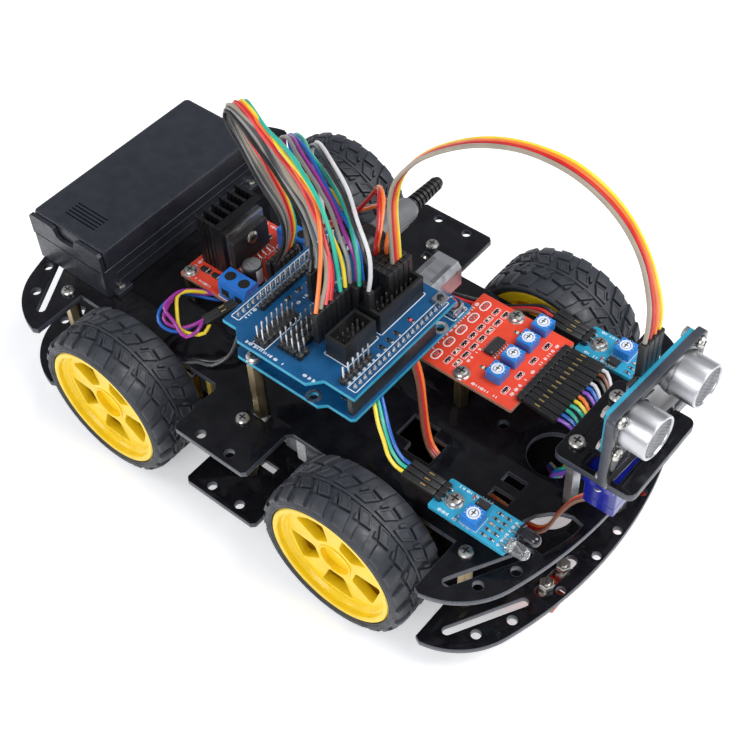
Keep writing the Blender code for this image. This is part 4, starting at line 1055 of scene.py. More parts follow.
def controller():
    """The controller board with its sockets, strips, chip and reset button."""
    (x0, x1), (y0, y1), z = CONTROLLER
    top = z + BOARD
    holes = [(x0 + 7.6, y1 - 66.0, 1.6), (x0 + 2.6, y1 - 14.0, 1.6), (x1 - 17.8, y0 + 2.6, 1.6),
             (x1 - 2.6, y1 - 15.3, 1.6)]
    outline = [(x0, y0 + 2.5), (x0 + 2.5, y0), (x1 - 14, y0), (x1 - 11.5, y0 + 2.5), (x1 - 1.2, y0 + 2.5),
               (x1, y0 + 3.7), (x1, y1), (x0, y1)]
    board_slab("controller_laminate", outline, holes, z, BLUE_MASK, BLUE_EDGE, "chassis",
               ("controller_board",))
    fixings = Shape()
    for number, (x, y, _) in enumerate(holes[:2]):
        single = Shape()
        pillar(single, x, y, DECK, z)
        screw(single, x, y, top, 2.8, 1.9)
        single.piece(f"controller_pillar_{number + 1}", "chassis", "brass",
                     (f"controller_standoff_{number + 1}",))
    for x, y, _ in holes:
        ring(fixings, x, y, 1.7, 3.0, top, TIN)
    sx0, sx1 = x0 + 31.8, x0 + 43.8
    sy0, sy1 = y1 - 9.8, y1 + 6.2
    shell = [(-6.0, 0.2), (6.0, 0.2), (6.0, 8.6), (4.4, 10.9), (-4.4, 10.9), (-6.0, 8.6)]
    bore = [(-5.2, 1.0), (5.2, 1.0), (5.2, 8.2), (4.0, 10.1), (-4.0, 10.1), (-5.2, 8.2)]
    middle = (sx0 + sx1) / 2

    def ring_of(line, y):
        return [(middle + a, y, top + b) for a, b in line]

    fixings.rings([ring_of(shell, sy0), ring_of(shell, sy1), ring_of(bore, sy1), ring_of(bore, sy1 - 9.0)],
                  STEEL)
    fixings.block((middle - 2.8, middle + 2.8), (sy1 - 9.5, sy1 - 1.0), (top + 3.6, top + 6.9), NYLON)
    for side in (-1, 1):
        fixings.block((middle + side * 3.4 - 0.9, middle + side * 3.4 + 0.9), (sy0 + 2.0, sy1 - 3.5),
                      (top + 10.88, top + 10.98), GRILLE)
    jx0, jx1 = x0 + 3.3, x0 + 12.2
    jack_axis = (jx0 + jx1) / 2
    arch = [(jx0, top), (jx1, top)]
    arch += [(jack_axis + 4.45 * math.cos(a), top + 6.3 + 4.5 * math.sin(a))
             for a in (math.pi * i / 14 for i in range(15))]
    fixings.rings([[(a, y, b) for a, b in arch] for y in (y1 - 10.5, y1 - 2.0)], BLACK)
    outer = [(jx0, top), (jx1, top), (jx1, top + 10.8), (jx0, top + 10.8)]
    fixings.rings([[(a, y, b) for a, b in outer] for y in (y1 - 2.0, y1 + 1.8)], BLACK)
    for px, low_y, high_y in ((x0 + 2.6, y0 + 6.0, y0 + 48.5), (x1 - 2.6, y0 + 4.0, y1 - 19.0)):
        female_strip(fixings, px, low_y, high_y, top)
    icx = (x0 + 17.5, x0 + 26.4)
    fixings.housing(icx, (y0 + 17.3, y0 + 51.7), [(0.25, top + 0.9), (0, top + 2.8), (0.3, top + 4.6)], CHIP,
                    0.4)
    for i in range(13):
        py = y0 + 19.3 + PIN_PITCH * i
        for px, out in ((icx[0], -1), (icx[1], 1)):
            edge = sorted((px - out * 0.2, px + out * 0.45))
            fixings.block(tuple(edge), (py - 0.6, py + 0.6), (top + 1.4, top + 2.6), TIN)
            fixings.block(tuple(edge), (py - 0.3, py + 0.3), (top - 0.2, top + 1.5), TIN)
    for cx, cy in ((x0 + 16.5, y1 - 8.0), (x0 + 24.0, y1 - 8.0)):
        fixings.housing((cx - 3.3, cx + 3.3), (cy - 3.3, cy + 3.3),
                        [(0, top), (0, top + 0.8), (0.6, top + 1.0)],
                        BLACK, 1.2)
        capacitor(fixings, cx, cy, top + 0.8, 3.1, 5.0)
    for k in range(6):
        resistor(fixings, x0 + 30.5 + 2.6 * k, y1 - 13.0, top, math.pi / 2, 1.7, 0.9)
        resistor(fixings, x1 - 8.8, y0 + 8.0 + 3.0 * k, top, 0, 1.6, 0.8)
    button_x, button_y = x1 - 4.2, y1 - 6.0
    fixings.housing((button_x - 3, button_x + 3), (button_y - 3, button_y + 3),
                    [(0, top), (0, top + 3.0), (0.2, top + 3.4)], STEEL, 0.4)
    fixings.turned([(2.0, top + 3.4), (3.0, top + 3.4), (2.9, top + 3.65), (2.1, top + 3.65)], CHIP, 36,
                   button_x, button_y, True)
    for dx in (-1, 1):
        for dy in (-1, 1):
            fixings.tube([(button_x + dx * 3.1, button_y + dy * 2.2, top + 2.0),
                          (button_x + dx * 3.6, button_y + dy * 2.2, top + 1.0),
                          (button_x + dx * 3.6, button_y + dy * 2.2, top - 0.6)], 0.34, TIN, 6)
    pins(fixings, x1 - 10.2, y0 + 26.0, top, 2, 3, 0, 8.5)
    fixings.piece("controller_parts", "chassis", "silver_metal")
    cap = Shape()
    cap.turned([(1.65, top + 2.4), (1.65, top + 4.4), (1.4, top + 4.85), (0.6, top + 4.9)], BUTTON, 36,
               button_x, button_y)
    cap.piece("reset_cap_moulding", "reset_cap", "button_plastic", ("reset_button",))
    printed = Shape()
    frame_lines(printed, (button_x - 3.7, button_x + 3.7), (button_y - 3.9, button_y + 3.9), top)
    marks(printed, x0 + 5.0, y0 + 8.0, top, 12, (0, 1), 1.4, 2.54)
    marks(printed, x1 - 5.2, y0 + 8.0, top, 14, (0, 1), 1.4, 2.54)
    marks(printed, x0 + 14.0, y1 - 2.0, top, 8, (1, 0), 1.5, 1.9)
    printed.piece("controller_print", "chassis", "blue_board")
    underside = Shape()
    for px, low_y, count in ((x0 + 2.6, y0 + 7.3, 17), (x1 - 2.6, y0 + 5.3, 18)):
        for i in range(count):
            underside.turned([(0.95, z - 0.02), (0.7, z - 0.5), (0.3, z - 1.6)][::-1], TIN, 10, px,
                             low_y + PIN_PITCH * i)
    underside.piece("controller_solder", "chassis", "silver_metal")


def female_strip(shape, x, low_y, high_y, top):
    """A socket strip with a square mouth over each contact."""
    shape.housing((x - 1.25, x + 1.25), (low_y, high_y), [(0, top), (0, top + 8.2), (0.15, top + 8.4)], BLACK,
                  0.3)
    count = int((high_y - low_y) / PIN_PITCH)
    for i in range(count):
        py = low_y + PIN_PITCH * (i + 0.5)
        # Each mouth is a near-black square of painted shade over the socket hole, which is not cut.
        shape.block((x - 0.45, x + 0.45), (py - 0.45, py + 0.45), (top + 8.3, top + 8.43), PAINTED_SHADE)


SHIELD_OUTLINE = [(-7.5, -51.0), (-1.2, -51.0), (3.0, -55.0), (34.0, -55.0), (38.3, -50.3), (51.3, -50.3),
                  (51.3, 5.0), (-7.5, 5.0)]


def shield():
    """The connector shield that is plugged on the controller."""
    z = SHIELD[2]
    top = z + BOARD
    board_slab("shield_laminate", SHIELD_OUTLINE, [], z, BLUE_MASK, BLUE_EDGE, "chassis",
               ("sensor_shield",))
    parts = Shape()
    for bx, by in (((31.0, 40.2), (-40.8, -25.2)), ((31.0, 40.2), (-22.8, 0.6))):
        boxed_header(parts, bx, by, top)
    for x in (17.6, 20.14, 22.68):
        pins(parts, x, -47.8, top, 1, 13, 0, 8.4)
    pins(parts, 25.6, -47.8, top, 1, 2, 0, 8.4)
    for x in (9.6, 12.1):
        pins(parts, x, -51.0, top, 1, 7, 0, 8.4)
    pins(parts, 0.2, -38.6, top, 1, 16, 0, 8.4)
    pins(parts, 26.0, -11.0, top, 4, 1, 0, 8.4)
    pins(parts, 44.2, -47.0, top, 1, 6, 0, 8.4)
    for x, low, count in ((-4.4, -46.0, 18), (48.2, -46.0, 19)):
        for i in range(count):
            py = low + PIN_PITCH * i
            parts.turned([(0.95, top), (0.8, top + 0.35), (0.35, top + 1.1), (0.3, top + 1.5)], TIN, 12, x,
                         py)
    for k in range(5):
        resistor(parts, 4.2, -30.0 + 5.5 * k, top, math.pi / 2, 2.0, 1.2)
    for k in range(3):
        resistor(parts, 44.5, -27.5 + 4.0 * k, top, 0, 2.0, 1.2)
    resistor(parts, 44.5, -12.0, top, 0, 2.0, 1.2, BUTTON)
    parts.housing((44.6, 49.4), (-1.0, 3.8), [(0, top), (0, top + 1.6), (0.2, top + 1.9)], STEEL, 0.4)
    parts.turned([(1.2, top + 1.8), (1.2, top + 2.5), (0.9, top + 2.7)], BLACK, 30, 47.0, 1.4)
    capacitor(parts, 4.6, 0.0, top, 2.4, 5.4)
    parts.piece("shield_parts", "chassis", "silver_metal")
    under = Shape()
    for px, low_y, high_y in ((CONTROLLER[0][0] + 2.6, -46.0, -4.5), (CONTROLLER[0][1] - 2.6, -48.0, -3.4)):
        under.block((px - 1.25, px + 1.25), (low_y, high_y), (z - 2.5, z), BLACK)
        for i in range(int((high_y - low_y) / PIN_PITCH)):
            py = low_y + PIN_PITCH * (i + 0.5)
            under.block((px - 0.3, px + 0.3), (py - 0.3, py + 0.3), (z - 3.2, z - 2.3), TIN)
    for i in range(13):
        for px in (17.6, 20.14, 22.68, 9.6, 12.1):
            under.turned([(0.3, z - 1.3), (0.7, z - 0.5), (0.95, z)], TIN, 10, px, -47.8 + PIN_PITCH * i)
    under.piece("shield_underside", "chassis", "black_plastic")
    printed = Shape()
    for x in ((-6.2, -2.6), (46.4, 50.0)):
        frame_lines(printed, x, (-48.0, 2.4), top, 0.14)
    for y in (-42.6, -37.5, -32.4, -27.4, -22.3, -17.2, -12.1):
        printed.block((16.2, 24.0), (y - 0.1, y + 0.1), (top, top + 0.05), SILK)
    marks(printed, -1.6, -46.0, top, 18, (0, 1), 1.3, PIN_PITCH)
    marks(printed, 45.6, -46.0, top, 8, (0, 1), 1.2, PIN_PITCH)
    marks(printed, 30.0, -52.6, top, 4, (1, 0), 1.3, 1.8)
    marks(printed, 6.0, -53.4, top, 10, (1, 0), 1.3, 1.9)
    marks(printed, 8.2, -29.0, top, 9, (0, 1), 1.4, 2.2)
    marks(printed, 12.4, -29.0, top, 9, (0, 1), 1.1, 2.2)
    frame_lines(printed, (30.5, 40.8), (-23.3, 1.1), top)
    frame_lines(printed, (30.5, 40.8), (-41.3, -24.7), top)
    frame_lines(printed, (8.0, 13.7), (-52.6, -34.2), top)
    printed.piece("shield_print", "chassis", "blue_board")


def boxed_header(shape, x, y, top):
    """A keyed box header: a wall round two rows of pins."""
    outer, inner = rectangle(x, y), rectangle((x[0] + 1.1, x[1] - 1.1), (y[0] + 1.1, y[1] - 1.1))
    high = top + 8.8
    shape.rings([[(a, b, top) for a, b in outer], [(a, b, high) for a, b in outer],
                 [(a, b, high) for a, b in inner], [(a, b, top + 2.2) for a, b in inner]], BLACK)
    # The key notch is not cut: a near-black block of painted shade in the wall stands for it.
    shape.block((x[0] - 0.02, x[0] + 1.2), ((y[0] + y[1]) / 2 - 2.2, (y[0] + y[1]) / 2 + 2.2),
                (top + 3.0, high + 0.02), PAINTED_SHADE)
    count = int((y[1] - y[0] - 4.5) / PIN_PITCH) + 1
    start = (y[0] + y[1]) / 2 - PIN_PITCH * (count - 1) / 2
    for px in ((x[0] + x[1]) / 2 - 1.27, (x[0] + x[1]) / 2 + 1.27):
        for i in range(count):
            py = start + PIN_PITCH * i
            shape.housing((px - 0.32, px + 0.32), (py - 0.32, py + 0.32),
                          [(0, top + 2.0), (0, top + 7.6), (0.18, top + 8.0)], TIN, 0.1)


# ---- front boards ----

def trimmer(shape, x, y, top, turn=0.0):
    """A square trimmer body with a round well and dial marks."""
    kept = shape.place
    shape.place = kept @ Matrix.Translation((x, y, 0)) @ Matrix.Rotation(turn, 4, "Z")
    shape.housing((-3.3, 3.3), (-3.3, 3.3), [(0, top), (0, top + 3.9), (0.25, top + 4.2)], TRIMMER, 0.4)
    shape.turned([(1.75, top + 4.1), (2.5, top + 4.1), (2.35, top + 4.5), (1.9, top + 4.5)], ROTOR, 36,
                 closed=True)
    for i in range(9):
        a = math.radians(-30 + 30 * i)
        kept_ray = shape.place
        shape.place = kept_ray @ Matrix.Rotation(a, 4, "Z")
        shape.block((2.6, 3.05), (-0.08, 0.08), (top + 4.15, top + 4.24), SILK)
        shape.place = kept_ray
    for px, py in ((-2.5, 0), (2.5, 2.5), (2.5, -2.5)):
        shape.disc(px, py, 0.3, top - 0.2, top + 0.2, TIN, 8)
    shape.place = kept


def rotor(name, body, x, y, top):
    """The turning screw of a trimmer, domed, with a cross slot."""
    shape = Shape()
    shape.turned([(1.5, top + 2.5), (1.5, top + 4.3), (1.25, top + 4.55), (0, top + 4.6)], ROTOR, 36, x, y)
    shape.block((x - 0.22, x + 0.22), (y - 1.25, y + 1.25), (top + 4.3, top + 4.63), CHIP)
    shape.block((x - 0.8, x + 0.8), (y - 0.2, y + 0.2), (top + 4.3, top + 4.625), CHIP)
    shape.piece(f"{name}_screw", body, "rotor_plastic", (name,))


def tracking_board():
    """The line-tracking board: four trimmers, a chip and twelve angled pins."""
    (x0, x1), (y0, y1), z = TRACKING
    top = z + BOARD
    holes = [(58.6, -1.2, 1.6), (58.6, 32.4, 1.6)]
    slots = [circle(x, y, r, 24) for x, y, r in holes]
    mesh = sheet_mesh("tracking_laminate", rounded((x0, x1), (y0, y1), 0.8), slots, z, top, RED_MASK,
                      RED_EDGE, 0.05)
    piece("tracking_laminate", mesh, "chassis", ("tracking_board",))
    parts = Shape()
    for x, y, _ in holes:
        pillar(parts, x, y, DECK, z)
        screw(parts, x, y, top, 2.9, 1.9)
        ring(parts, x, y, 1.6, 3.3, top, TIN)
    for y in TRIMMER_YS:
        trimmer(parts, TRIMMER_X, y, top)
    chip(parts, 60.9, 15.8, top, math.pi / 2, 8.7, 3.9, 7)
    for i in range(5):
        y = 0.6 + 7.4 * i
        parts.prism(stadium((46.0, y - 1.0), (46.0, y + 1.0), 1.7), top, top + 0.05, SILK)
        parts.prism(stadium((46.0, y - 1.0), (46.0, y + 1.0), 1.25), top + 0.02, top + 0.08, RED_MASK)
        parts.soft_block((45.3, 46.7), (y - 0.9, y + 0.9), (top, top + 0.8), CLEAR, 0.2)
        for side in (-1, 1):
            parts.block((45.4, 46.6), tuple(sorted((y + side * 0.8, y + side * 1.5))), (top, top + 0.3), TIN)
    for row, x in enumerate((51.0, 54.6)):
        for i in range(7):
            y = 0.9 + 4.9 * i + row * 0.8
            resistor(parts, x, y, top, math.pi / 2, 1.9, 1.2, CERAMIC if (i + row) % 4 == 1 else CHIP)
            frame_lines(parts, (x - 1.0, x + 1.0), (y - 1.9, y + 1.9), top, 0.09)
    for i in range(4):
        y = 2.0 + 8.6 * i
        resistor(parts, 75.6, y, top, math.pi / 2, 1.9, 1.2)
        frame_lines(parts, (74.6, 76.6), (y - 1.9, y + 1.9), top, 0.09)
    for y in (5.4, 26.4):
        resistor(parts, 63.4, y, top, 0, 2.0, 1.3, CERAMIC)
    start = FIRST_TRACKING_PIN_Y
    for i in range(12):
        y = start + PIN_PITCH * i
        parts.housing((81.0, 83.6), (y - 1.25, y + 1.25), [(0, top), (0, top + 2.2), (0.3, top + 2.5)], BLACK,
                      0.6)
        parts.tube([(80.2, y, top - 0.4), (80.2, y, top + 0.8), (80.6, y, top + 1.25), (86.0, y, top + 1.25)],
                   0.33, TIN, 6)
    marks(parts, 78.4, start, top, 12, (0, 1), 1.4, PIN_PITCH)
    marks(parts, 43.0, 2.0, top, 11, (0, 1), 1.5, 2.7)
    marks(parts, 57.0, 5.0, top, 4, (0, 1), 1.2, 2.2)
    marks(parts, 64.8, -2.6, top, 6, (1, 0), 1.3, 1.9)
    parts.piece("tracking_parts", "chassis", "blue_plastic")
    for i, y in enumerate(TRIMMER_YS):
        rotor(f"tracking_trimmer_{i + 1}", f"tracking_trimmer_{i + 1}_rotor", TRIMMER_X, y, top)
    shells = Shape()
    for i in range(12):
        spread = (i - 5.5) * 0.012
        lift = 0.02 * math.sin(i * 2.1)
        plug(shells, (84.0, start + PIN_PITCH * i, top + 1.25), (1, spread, -0.012 + lift), 1,
             (-spread, 1, 0))
    shells.piece("tracking_plugs", "chassis", "black_plastic")


def obstacle_sensors():
    """The two obstacle sensors, mirror images in their places on the deck."""
    for side, sy in (("right", -1), ("left", 1)):
        (x0, x1), (y0, y1), z = OBSTACLE
        ys = tuple(sorted((sy * y0, sy * y1)))
        mid = sy * (y0 + y1) / 2
        top = z + BOARD
        board_slab(f"obstacle_laminate_{side}", rounded((x0, x1), ys, 0.8), [(88.0, mid, 1.6)], z, CYAN_MASK,
                   BLUE_EDGE, "chassis", (f"obstacle_sensor_{side}",))
        parts = Shape()
        pillar(parts, 88.0, mid, DECK, z)
        screw(parts, 88.0, mid, top, 3.0, 2.0)
        ring(parts, 88.0, mid, 1.6, 3.4, top, TIN)
        trimmer(parts, 97.5, sy * 46.2, top)
        chip(parts, 96.6, sy * 39.6, top, 0, 4.9, 3.2, 4, 1.3)
        for i in range(5):
            resistor(parts, 103.2, ys[0] + 2.0 + 2.5 * i, top, 0, 1.6, 0.9, CERAMIC if i == 2 else CHIP)
            resistor(parts, 106.6, ys[0] + 2.0 + 2.5 * i, top, 0, 1.6, 0.9)
        resistor(parts, 92.4, sy * 38.6, top, math.pi / 2, 1.6, 0.9, BUTTON)
        resistor(parts, 92.4, sy * 49.0, top, math.pi / 2, 1.6, 0.9, TERMINAL)
        for i in range(3):
            y = mid + PIN_PITCH * (i - 1)
            parts.housing((82.0, 84.4), (y - 1.25, y + 1.25), [(0, top), (0, top + 2.2), (0.3, top + 2.5)],
                          BLACK, 0.6)
            parts.tube([(85.2, y, top - 0.3), (85.2, y, top + 0.8), (84.8, y, top + 1.2),
                        (79.6, y, top + 1.2)],
                       0.33, TIN, 6)
        marks(parts, 86.0, ys[0] + 1.1, top, 8, (1, 0), 1.2, 1.7)
        marks(parts, 86.0, ys[1] - 1.1, top, 8, (1, 0), 1.2, 1.7)
        marks(parts, 109.6, ys[0] + 2.0, top, 7, (0, 1), 1.2, 1.7)
        frame_lines(parts, (94.0, 101.0), tuple(sorted((sy * 42.7, sy * 49.7))), top, 0.08)
        for lamp, material in ((-3.2, CLEAR), (3.2, SMOKED)):
            lens(parts, (112.4, mid + lamp, z + 2.3), material)
        parts.piece(f"obstacle_parts_{side}", "chassis", "blue_plastic")
        rotor(f"obstacle_trimmer_{side}", f"obstacle_trimmer_{side}_rotor", 97.5, sy * 46.2, top)
        shells = Shape()
        for i in range(3):
            plug(shells, (81.6, mid + PIN_PITCH * (i - 1), top + 1.2), (-1, 0.02 * (i - 1), 0.02), 1,
                 (0, -1, 0))
        shells.piece(f"obstacle_plugs_{side}", "chassis", "black_plastic")


def lens(shape, base, material):
    """A five millimetre lamp that points forward, with its flange and two legs."""
    kept = shape.place
    shape.place = kept @ Matrix.Translation(base) @ Matrix.Rotation(math.pi / 2, 4, "Y")
    dome = [(2.45 * math.cos(a), 5.9 + 2.3 * math.sin(a)) for a in (math.pi / 2 * i / 8 for i in range(9))]
    shape.turned([(2.9, 0.0), (2.9, 1.0), (2.45, 1.2), *dome], material, 36)
    shape.turned([(1.5, 0.3), (1.5, 1.6), (1.0, 2.2)], TIN, 20)
    shape.place = kept
    for side in (-1, 1):
        x, y, z = base
        shape.tube([(x + 0.4, y + side * 1.27, z), (x - 2.2, y + side * 1.27, z),
                    (x - 3.0, y + side * 1.27, z - 0.8), (x - 3.0, y + side * 1.27, z - 4.2)], 0.26, TIN, 6)


def line_probes():
    """The four small boards under the nose that look at the ground."""
    under = FLOOR_LOW
    for i, y in enumerate(PROBE_YS):
        x = 118.2 - 0.04 * (abs(y) - 20)
        board_slab(f"probe_laminate_{i + 1}", rounded((x - 14.0, x + 6.0), (y - 4.4, y + 4.4), 0.6),
                   [(x, y, 1.6)],
                   under - 4.8, RED_MASK, RED_EDGE, "chassis", (f"line_probe_{i + 1}",))
        parts = Shape()
        parts.disc(x, y, 1.35, under - 5.4, FLOOR_HIGH + 3.0, NICKEL, 16)
        nut(parts, x, y, FLOOR_HIGH, FLOOR_HIGH + 2.3, 2.9)
        nut(parts, x, y, under - 3.1, under - 0.1, 2.9)
        under_screw(parts, x, y, under - 4.8, 2.5, 1.5)
        parts.soft_block((x + 1.8, x + 5.0), (y - 3.0, y + 3.0), (under - 7.6, under - 4.7), BLACK)
        for side, lamp in ((-1, CLEAR), (1, SMOKED)):
            parts.disc(x + 3.4, y + side * 1.4, 0.95, under - 7.9, under - 7.4, lamp, 20)
        for k in range(3):
            resistor(parts, x - 6.0, y + 2.4 * (k - 1), under - 3.25, 0, 1.6, 0.8)
            py = y + PIN_PITCH * (k - 1)
            parts.tube([(x - 11.5, py, under - 3.6), (x - 12.2, py, under - 2.6),
                        (x - 16.6, py, under - 2.6)],
                       0.3, TIN, 6)
        parts.piece(f"probe_parts_{i + 1}", "chassis", "black_plastic")
        shells = Shape()
        for k in range(3):
            plug(shells, (x - 12.8, y + PIN_PITCH * (k - 1), under - 2.6), (-1, 0, 0), 1, (0, -1, 0))
        shells.piece(f"probe_plugs_{i + 1}", "chassis", "black_plastic")


# ---- sensor head ----

def platform():
    """The raised plate at the nose and its two pillars."""
    (x0, x1), (y0, y1) = (109.8, 140.4), (-20.7, 18.7)
    window = rectangle((PAN.x - 6.5, PAN.x + 6.5), (PAN.y - 17.6, PAN.y + 6.4))
    holes = [circle(114.4, y, 1.8, 20) for y in (-13.0, 11.0)]
    holes += [circle(PAN.x, PAN.y + dy, 1.1, 14) for dy in (-19.0 + 0.6, 9.3)]
    mesh = sheet_mesh("raised_platform", rounded((x0, x1), (y0, y1), 3.0, 8), [window, *holes], HEAD_Z,
                      HEAD_Z + 3.0, ACRYLIC, ACRYLIC_EDGE)
    piece("raised_platform", mesh, "chassis", ("sensor_platform",))
    for side, y in (("right", -13.0), ("left", 11.0)):
        shape = Shape()
        pillar(shape, 114.4, y, DECK, HEAD_Z, 2.9, STEEL)
        screw(shape, 114.4, y, HEAD_Z + 3.0, 2.9, 2.0)
        under_screw(shape, 114.4, y, DECK_LOW)
        shape.piece(f"platform_pillar_{side}", "chassis", "brass", (f"platform_standoff_{side}",))


def servo():
    """The small servo that hangs in the platform's window."""
    shape = Shape()
    x, y = (PAN.x - 6.1, PAN.x + 6.1), (PAN.y - 17.2, PAN.y + 6.0)
    low, high = HEAD_Z - 17.0, HEAD_Z + 1.2
    shape.housing(x, y, [(0.4, low), (0, low + 0.4), (0, low + 4.2), (0.15, low + 4.3), (0.15, low + 4.5),
                         (0, low + 4.6), (0, high - 4.8), (0.15, high - 4.7), (0.15,
                                                                               high - 4.5), (0, high - 4.4),
                         (0, high - 0.5), (0.5, high)], SERVO, 0.9)
    ears = rounded((PAN.x - 5.9, PAN.x + 5.9), (PAN.y - 19.4, PAN.y + 12.4), 0.8)
    shape.prism(ears, HEAD_Z - 2.8, HEAD_Z - 0.3, SERVO)
    shape.turned([(5.9, high - 0.3), (5.9, high + 0.9), (5.5, high + 1.4), (3.2, high + 1.4),
                  (3.2, high + 2.3)],
                 SERVO, 44, PAN.x, PAN.y)
    shape.turned([(2.4, high), (2.4, PAN.z - 0.3)], NYLON, 20, PAN.x, PAN.y)
    for dy in (-18.4, 9.3):
        under_screw(shape, PAN.x, PAN.y + dy, HEAD_Z - 2.9, 1.7, 1.2)
        screw(shape, PAN.x, PAN.y + dy, HEAD_Z + 3.0, 1.8, 1.2)
    for sx in (-1, 1):
        for py in (PAN.y - 15.6, PAN.y + 4.4):
            under_screw(shape, PAN.x + sx * 4.6, py, low, 1.0, 0.4)
    shape.piece("servo_body", "chassis", "servo_plastic", ("pan_servo",), 0.1)


def sensor_head():
    """The plate, board and two transducers that the servo pans."""
    turned = Matrix.Translation((PAN.x, PAN.y, 0)) @ Matrix.Rotation(PAN_REST, 4, "Z")
    base = Shape()
    base.place = turned
    outline = rounded((-9.0, FACE[0] + 0.4), (-16.0, 16.0), 3.0)
    base.prism(outline, PAN.z, PAN.z + 3.0, ACRYLIC)
    base.turned([(2.5, PAN.z + 3.0), (2.5, PAN.z + 4.0), (1.9, PAN.z + 4.6)], NICKEL, 24)
    for y in (-11.0, 11.0):
        screw(base, -2.0, y, PAN.z + 3.0, 1.9, 1.3)
    base.turned([(3.4, PAN.z - 1.9), (3.4, PAN.z - 0.1)], NYLON, 24)
    for y in (-1, 1):
        base.prism(stadium((0, 0), (0, y * 12.0), 2.0), PAN.z - 1.5, PAN.z - 0.1, NYLON)
    base.piece("pan_base", "sensor_head", "black_acrylic", ("pan_bracket",), 0.2)
    low, high = PAN.z - 1.2, 122.5
    slots = []
    for y in (-15.5, -5.2, 5.2, 15.5):
        slots.append(rectangle((y - 3.1, y + 3.1), (PAN.z + 4.4, PAN.z + 7.4)))
    eyes = [circle(side * EYE_Y, EYE_Z, EYE_R + 0.3, 64) for side in (-1, 1)]
    screws = [(-21.0, EYE_Z + 8.0), (21.0, EYE_Z + 8.0), (-21.0, EYE_Z - 8.0), (21.0, EYE_Z - 8.0)]
    outline = rounded((-25.0, 25.0), (low, high), 2.6, 8)
    mesh = sheet_mesh("face_plate", outline, [*eyes, *slots], FACE[0], FACE[1], ACRYLIC, ACRYLIC_EDGE)
    upright = Matrix(((0, 0, 1, 0), (1, 0, 0, 0), (0, 1, 0, 0), (0, 0, 0, 1)))
    place = turned.copy()
    place.translation *= MM
    piece("face_plate", mesh, "sensor_head", (), place=place @ upright)
    fixings = Shape()
    fixings.place = turned @ upright
    for y, z in screws:
        screw(fixings, y, z, FACE[1], 2.3, 1.6)
        fixings.turned([(2.0, FACE[0] - 3.2), (2.3, FACE[0] - 3.0), (2.3, FACE[0] - 1.9),
                        (2.0, FACE[0] - 1.8)],
                       NICKEL, 6, y, z)
    fixings.piece("face_screws", "sensor_head", "silver_metal")
    board = sheet_mesh("distance_board", rounded((-22.5, 22.5), (EYE_Z - 10, EYE_Z + 10), 0.8), [], 1.7, 3.3,
                       BLUE_MASK, BLUE_EDGE, 0.05)
    piece("distance_board", board, "sensor_head", ("distance_sensor",), place=place @ upright)
    parts = Shape()
    parts.place = turned @ upright
    for side in (-1, 1):
        y = side * EYE_Y
        front, back = EYE_FRONT, FACE[0] - 0.6
        parts.turned([(8.0, back), (8.0, front - 0.5), (7.85, front - 0.12), (7.6, front), (7.15, front),
                      (7.0, front - 0.2), (6.9, front - 0.9), (6.9, back)], STEEL, 72, y, EYE_Z, True)
        # A near-black disc behind each grille: painted shade in the can's cavity.
        parts.turned([(6.95, front - 1.5), (0, front - 1.1)], PAINTED_SHADE, 48, y, EYE_Z)
        grille(parts, y, EYE_Z, front - 0.7)
        parts.turned([(8.0, FACE[0] - 0.35), (8.35, FACE[0] - 0.35), (8.35, FACE[0] - 0.02), (8.0, FACE[0])],
                     BLACK, 60, y, EYE_Z, True)
        parts.turned([(1.0, front - 1.4), (1.6, front - 1.0), (0, front - 0.95)][::-1], STEEL, 24, y, EYE_Z)
        parts.turned([(5.4, 1.7), (5.4, 0.5), (5.0, 0.1), (0, 0.1)][::-1], CHIP, 40, y, EYE_Z)
    for y, z, turn in ((0.0, EYE_Z - 3.5, 0), (-8.0, EYE_Z + 6.5, math.pi / 2)):
        kept = parts.place
        parts.place = kept @ Matrix.Translation((0, 0, 1.7)) @ Matrix.Rotation(math.pi, 4, "Y")
        chip(parts, -y, z, 0, turn, 8.6, 3.9, 7)
        parts.place = kept
    for i in range(4):
        y = PIN_PITCH * (i - 1.5)
        parts.block((y - 0.32, y + 0.32), (EYE_Z + 6.5, EYE_Z + 15.5), (0.4, 1.04), TIN)
    parts.block((-5.1, 5.1), (EYE_Z + 7.2, EYE_Z + 9.7), (-0.6, 1.9), BLACK)
    parts.piece("distance_parts", "sensor_head", "silver_metal")
    shells = Shape()
    shells.place = turned
    for i in range(4):
        plug(shells, (0.75, PIN_PITCH * (i - 1.5), EYE_Z + 10.2), (0, 0.012 * (i - 1.5), 1), 1, (0, 1, 0))
    shells.piece("distance_plugs", "sensor_head", "black_plastic")


def grille(shape, x, y, z):
    """A woven disc of wires in front of a transducer."""
    reach = 6.9
    pitch = 0.86
    for k in range(-7, 8):
        offset = k * pitch
        half = math.sqrt(max(0.0, reach ** 2 - offset ** 2))
        count = max(2, int(half * 2 / pitch) + 1)
        for weave, level in (("u", 1), ("v", -1)):
            line = []
            for i in range(count * 2 + 1):
                t = -half + half * 2 * i / (count * 2)
                lift = 0.09 * math.cos(math.pi * (t / pitch + k)) * level
                line.append((x + t, y + offset, z + lift) if weave == "u" else (x + offset, y + t, z + lift))
            shape.tube(line, 0.15, GRILLE, 5)


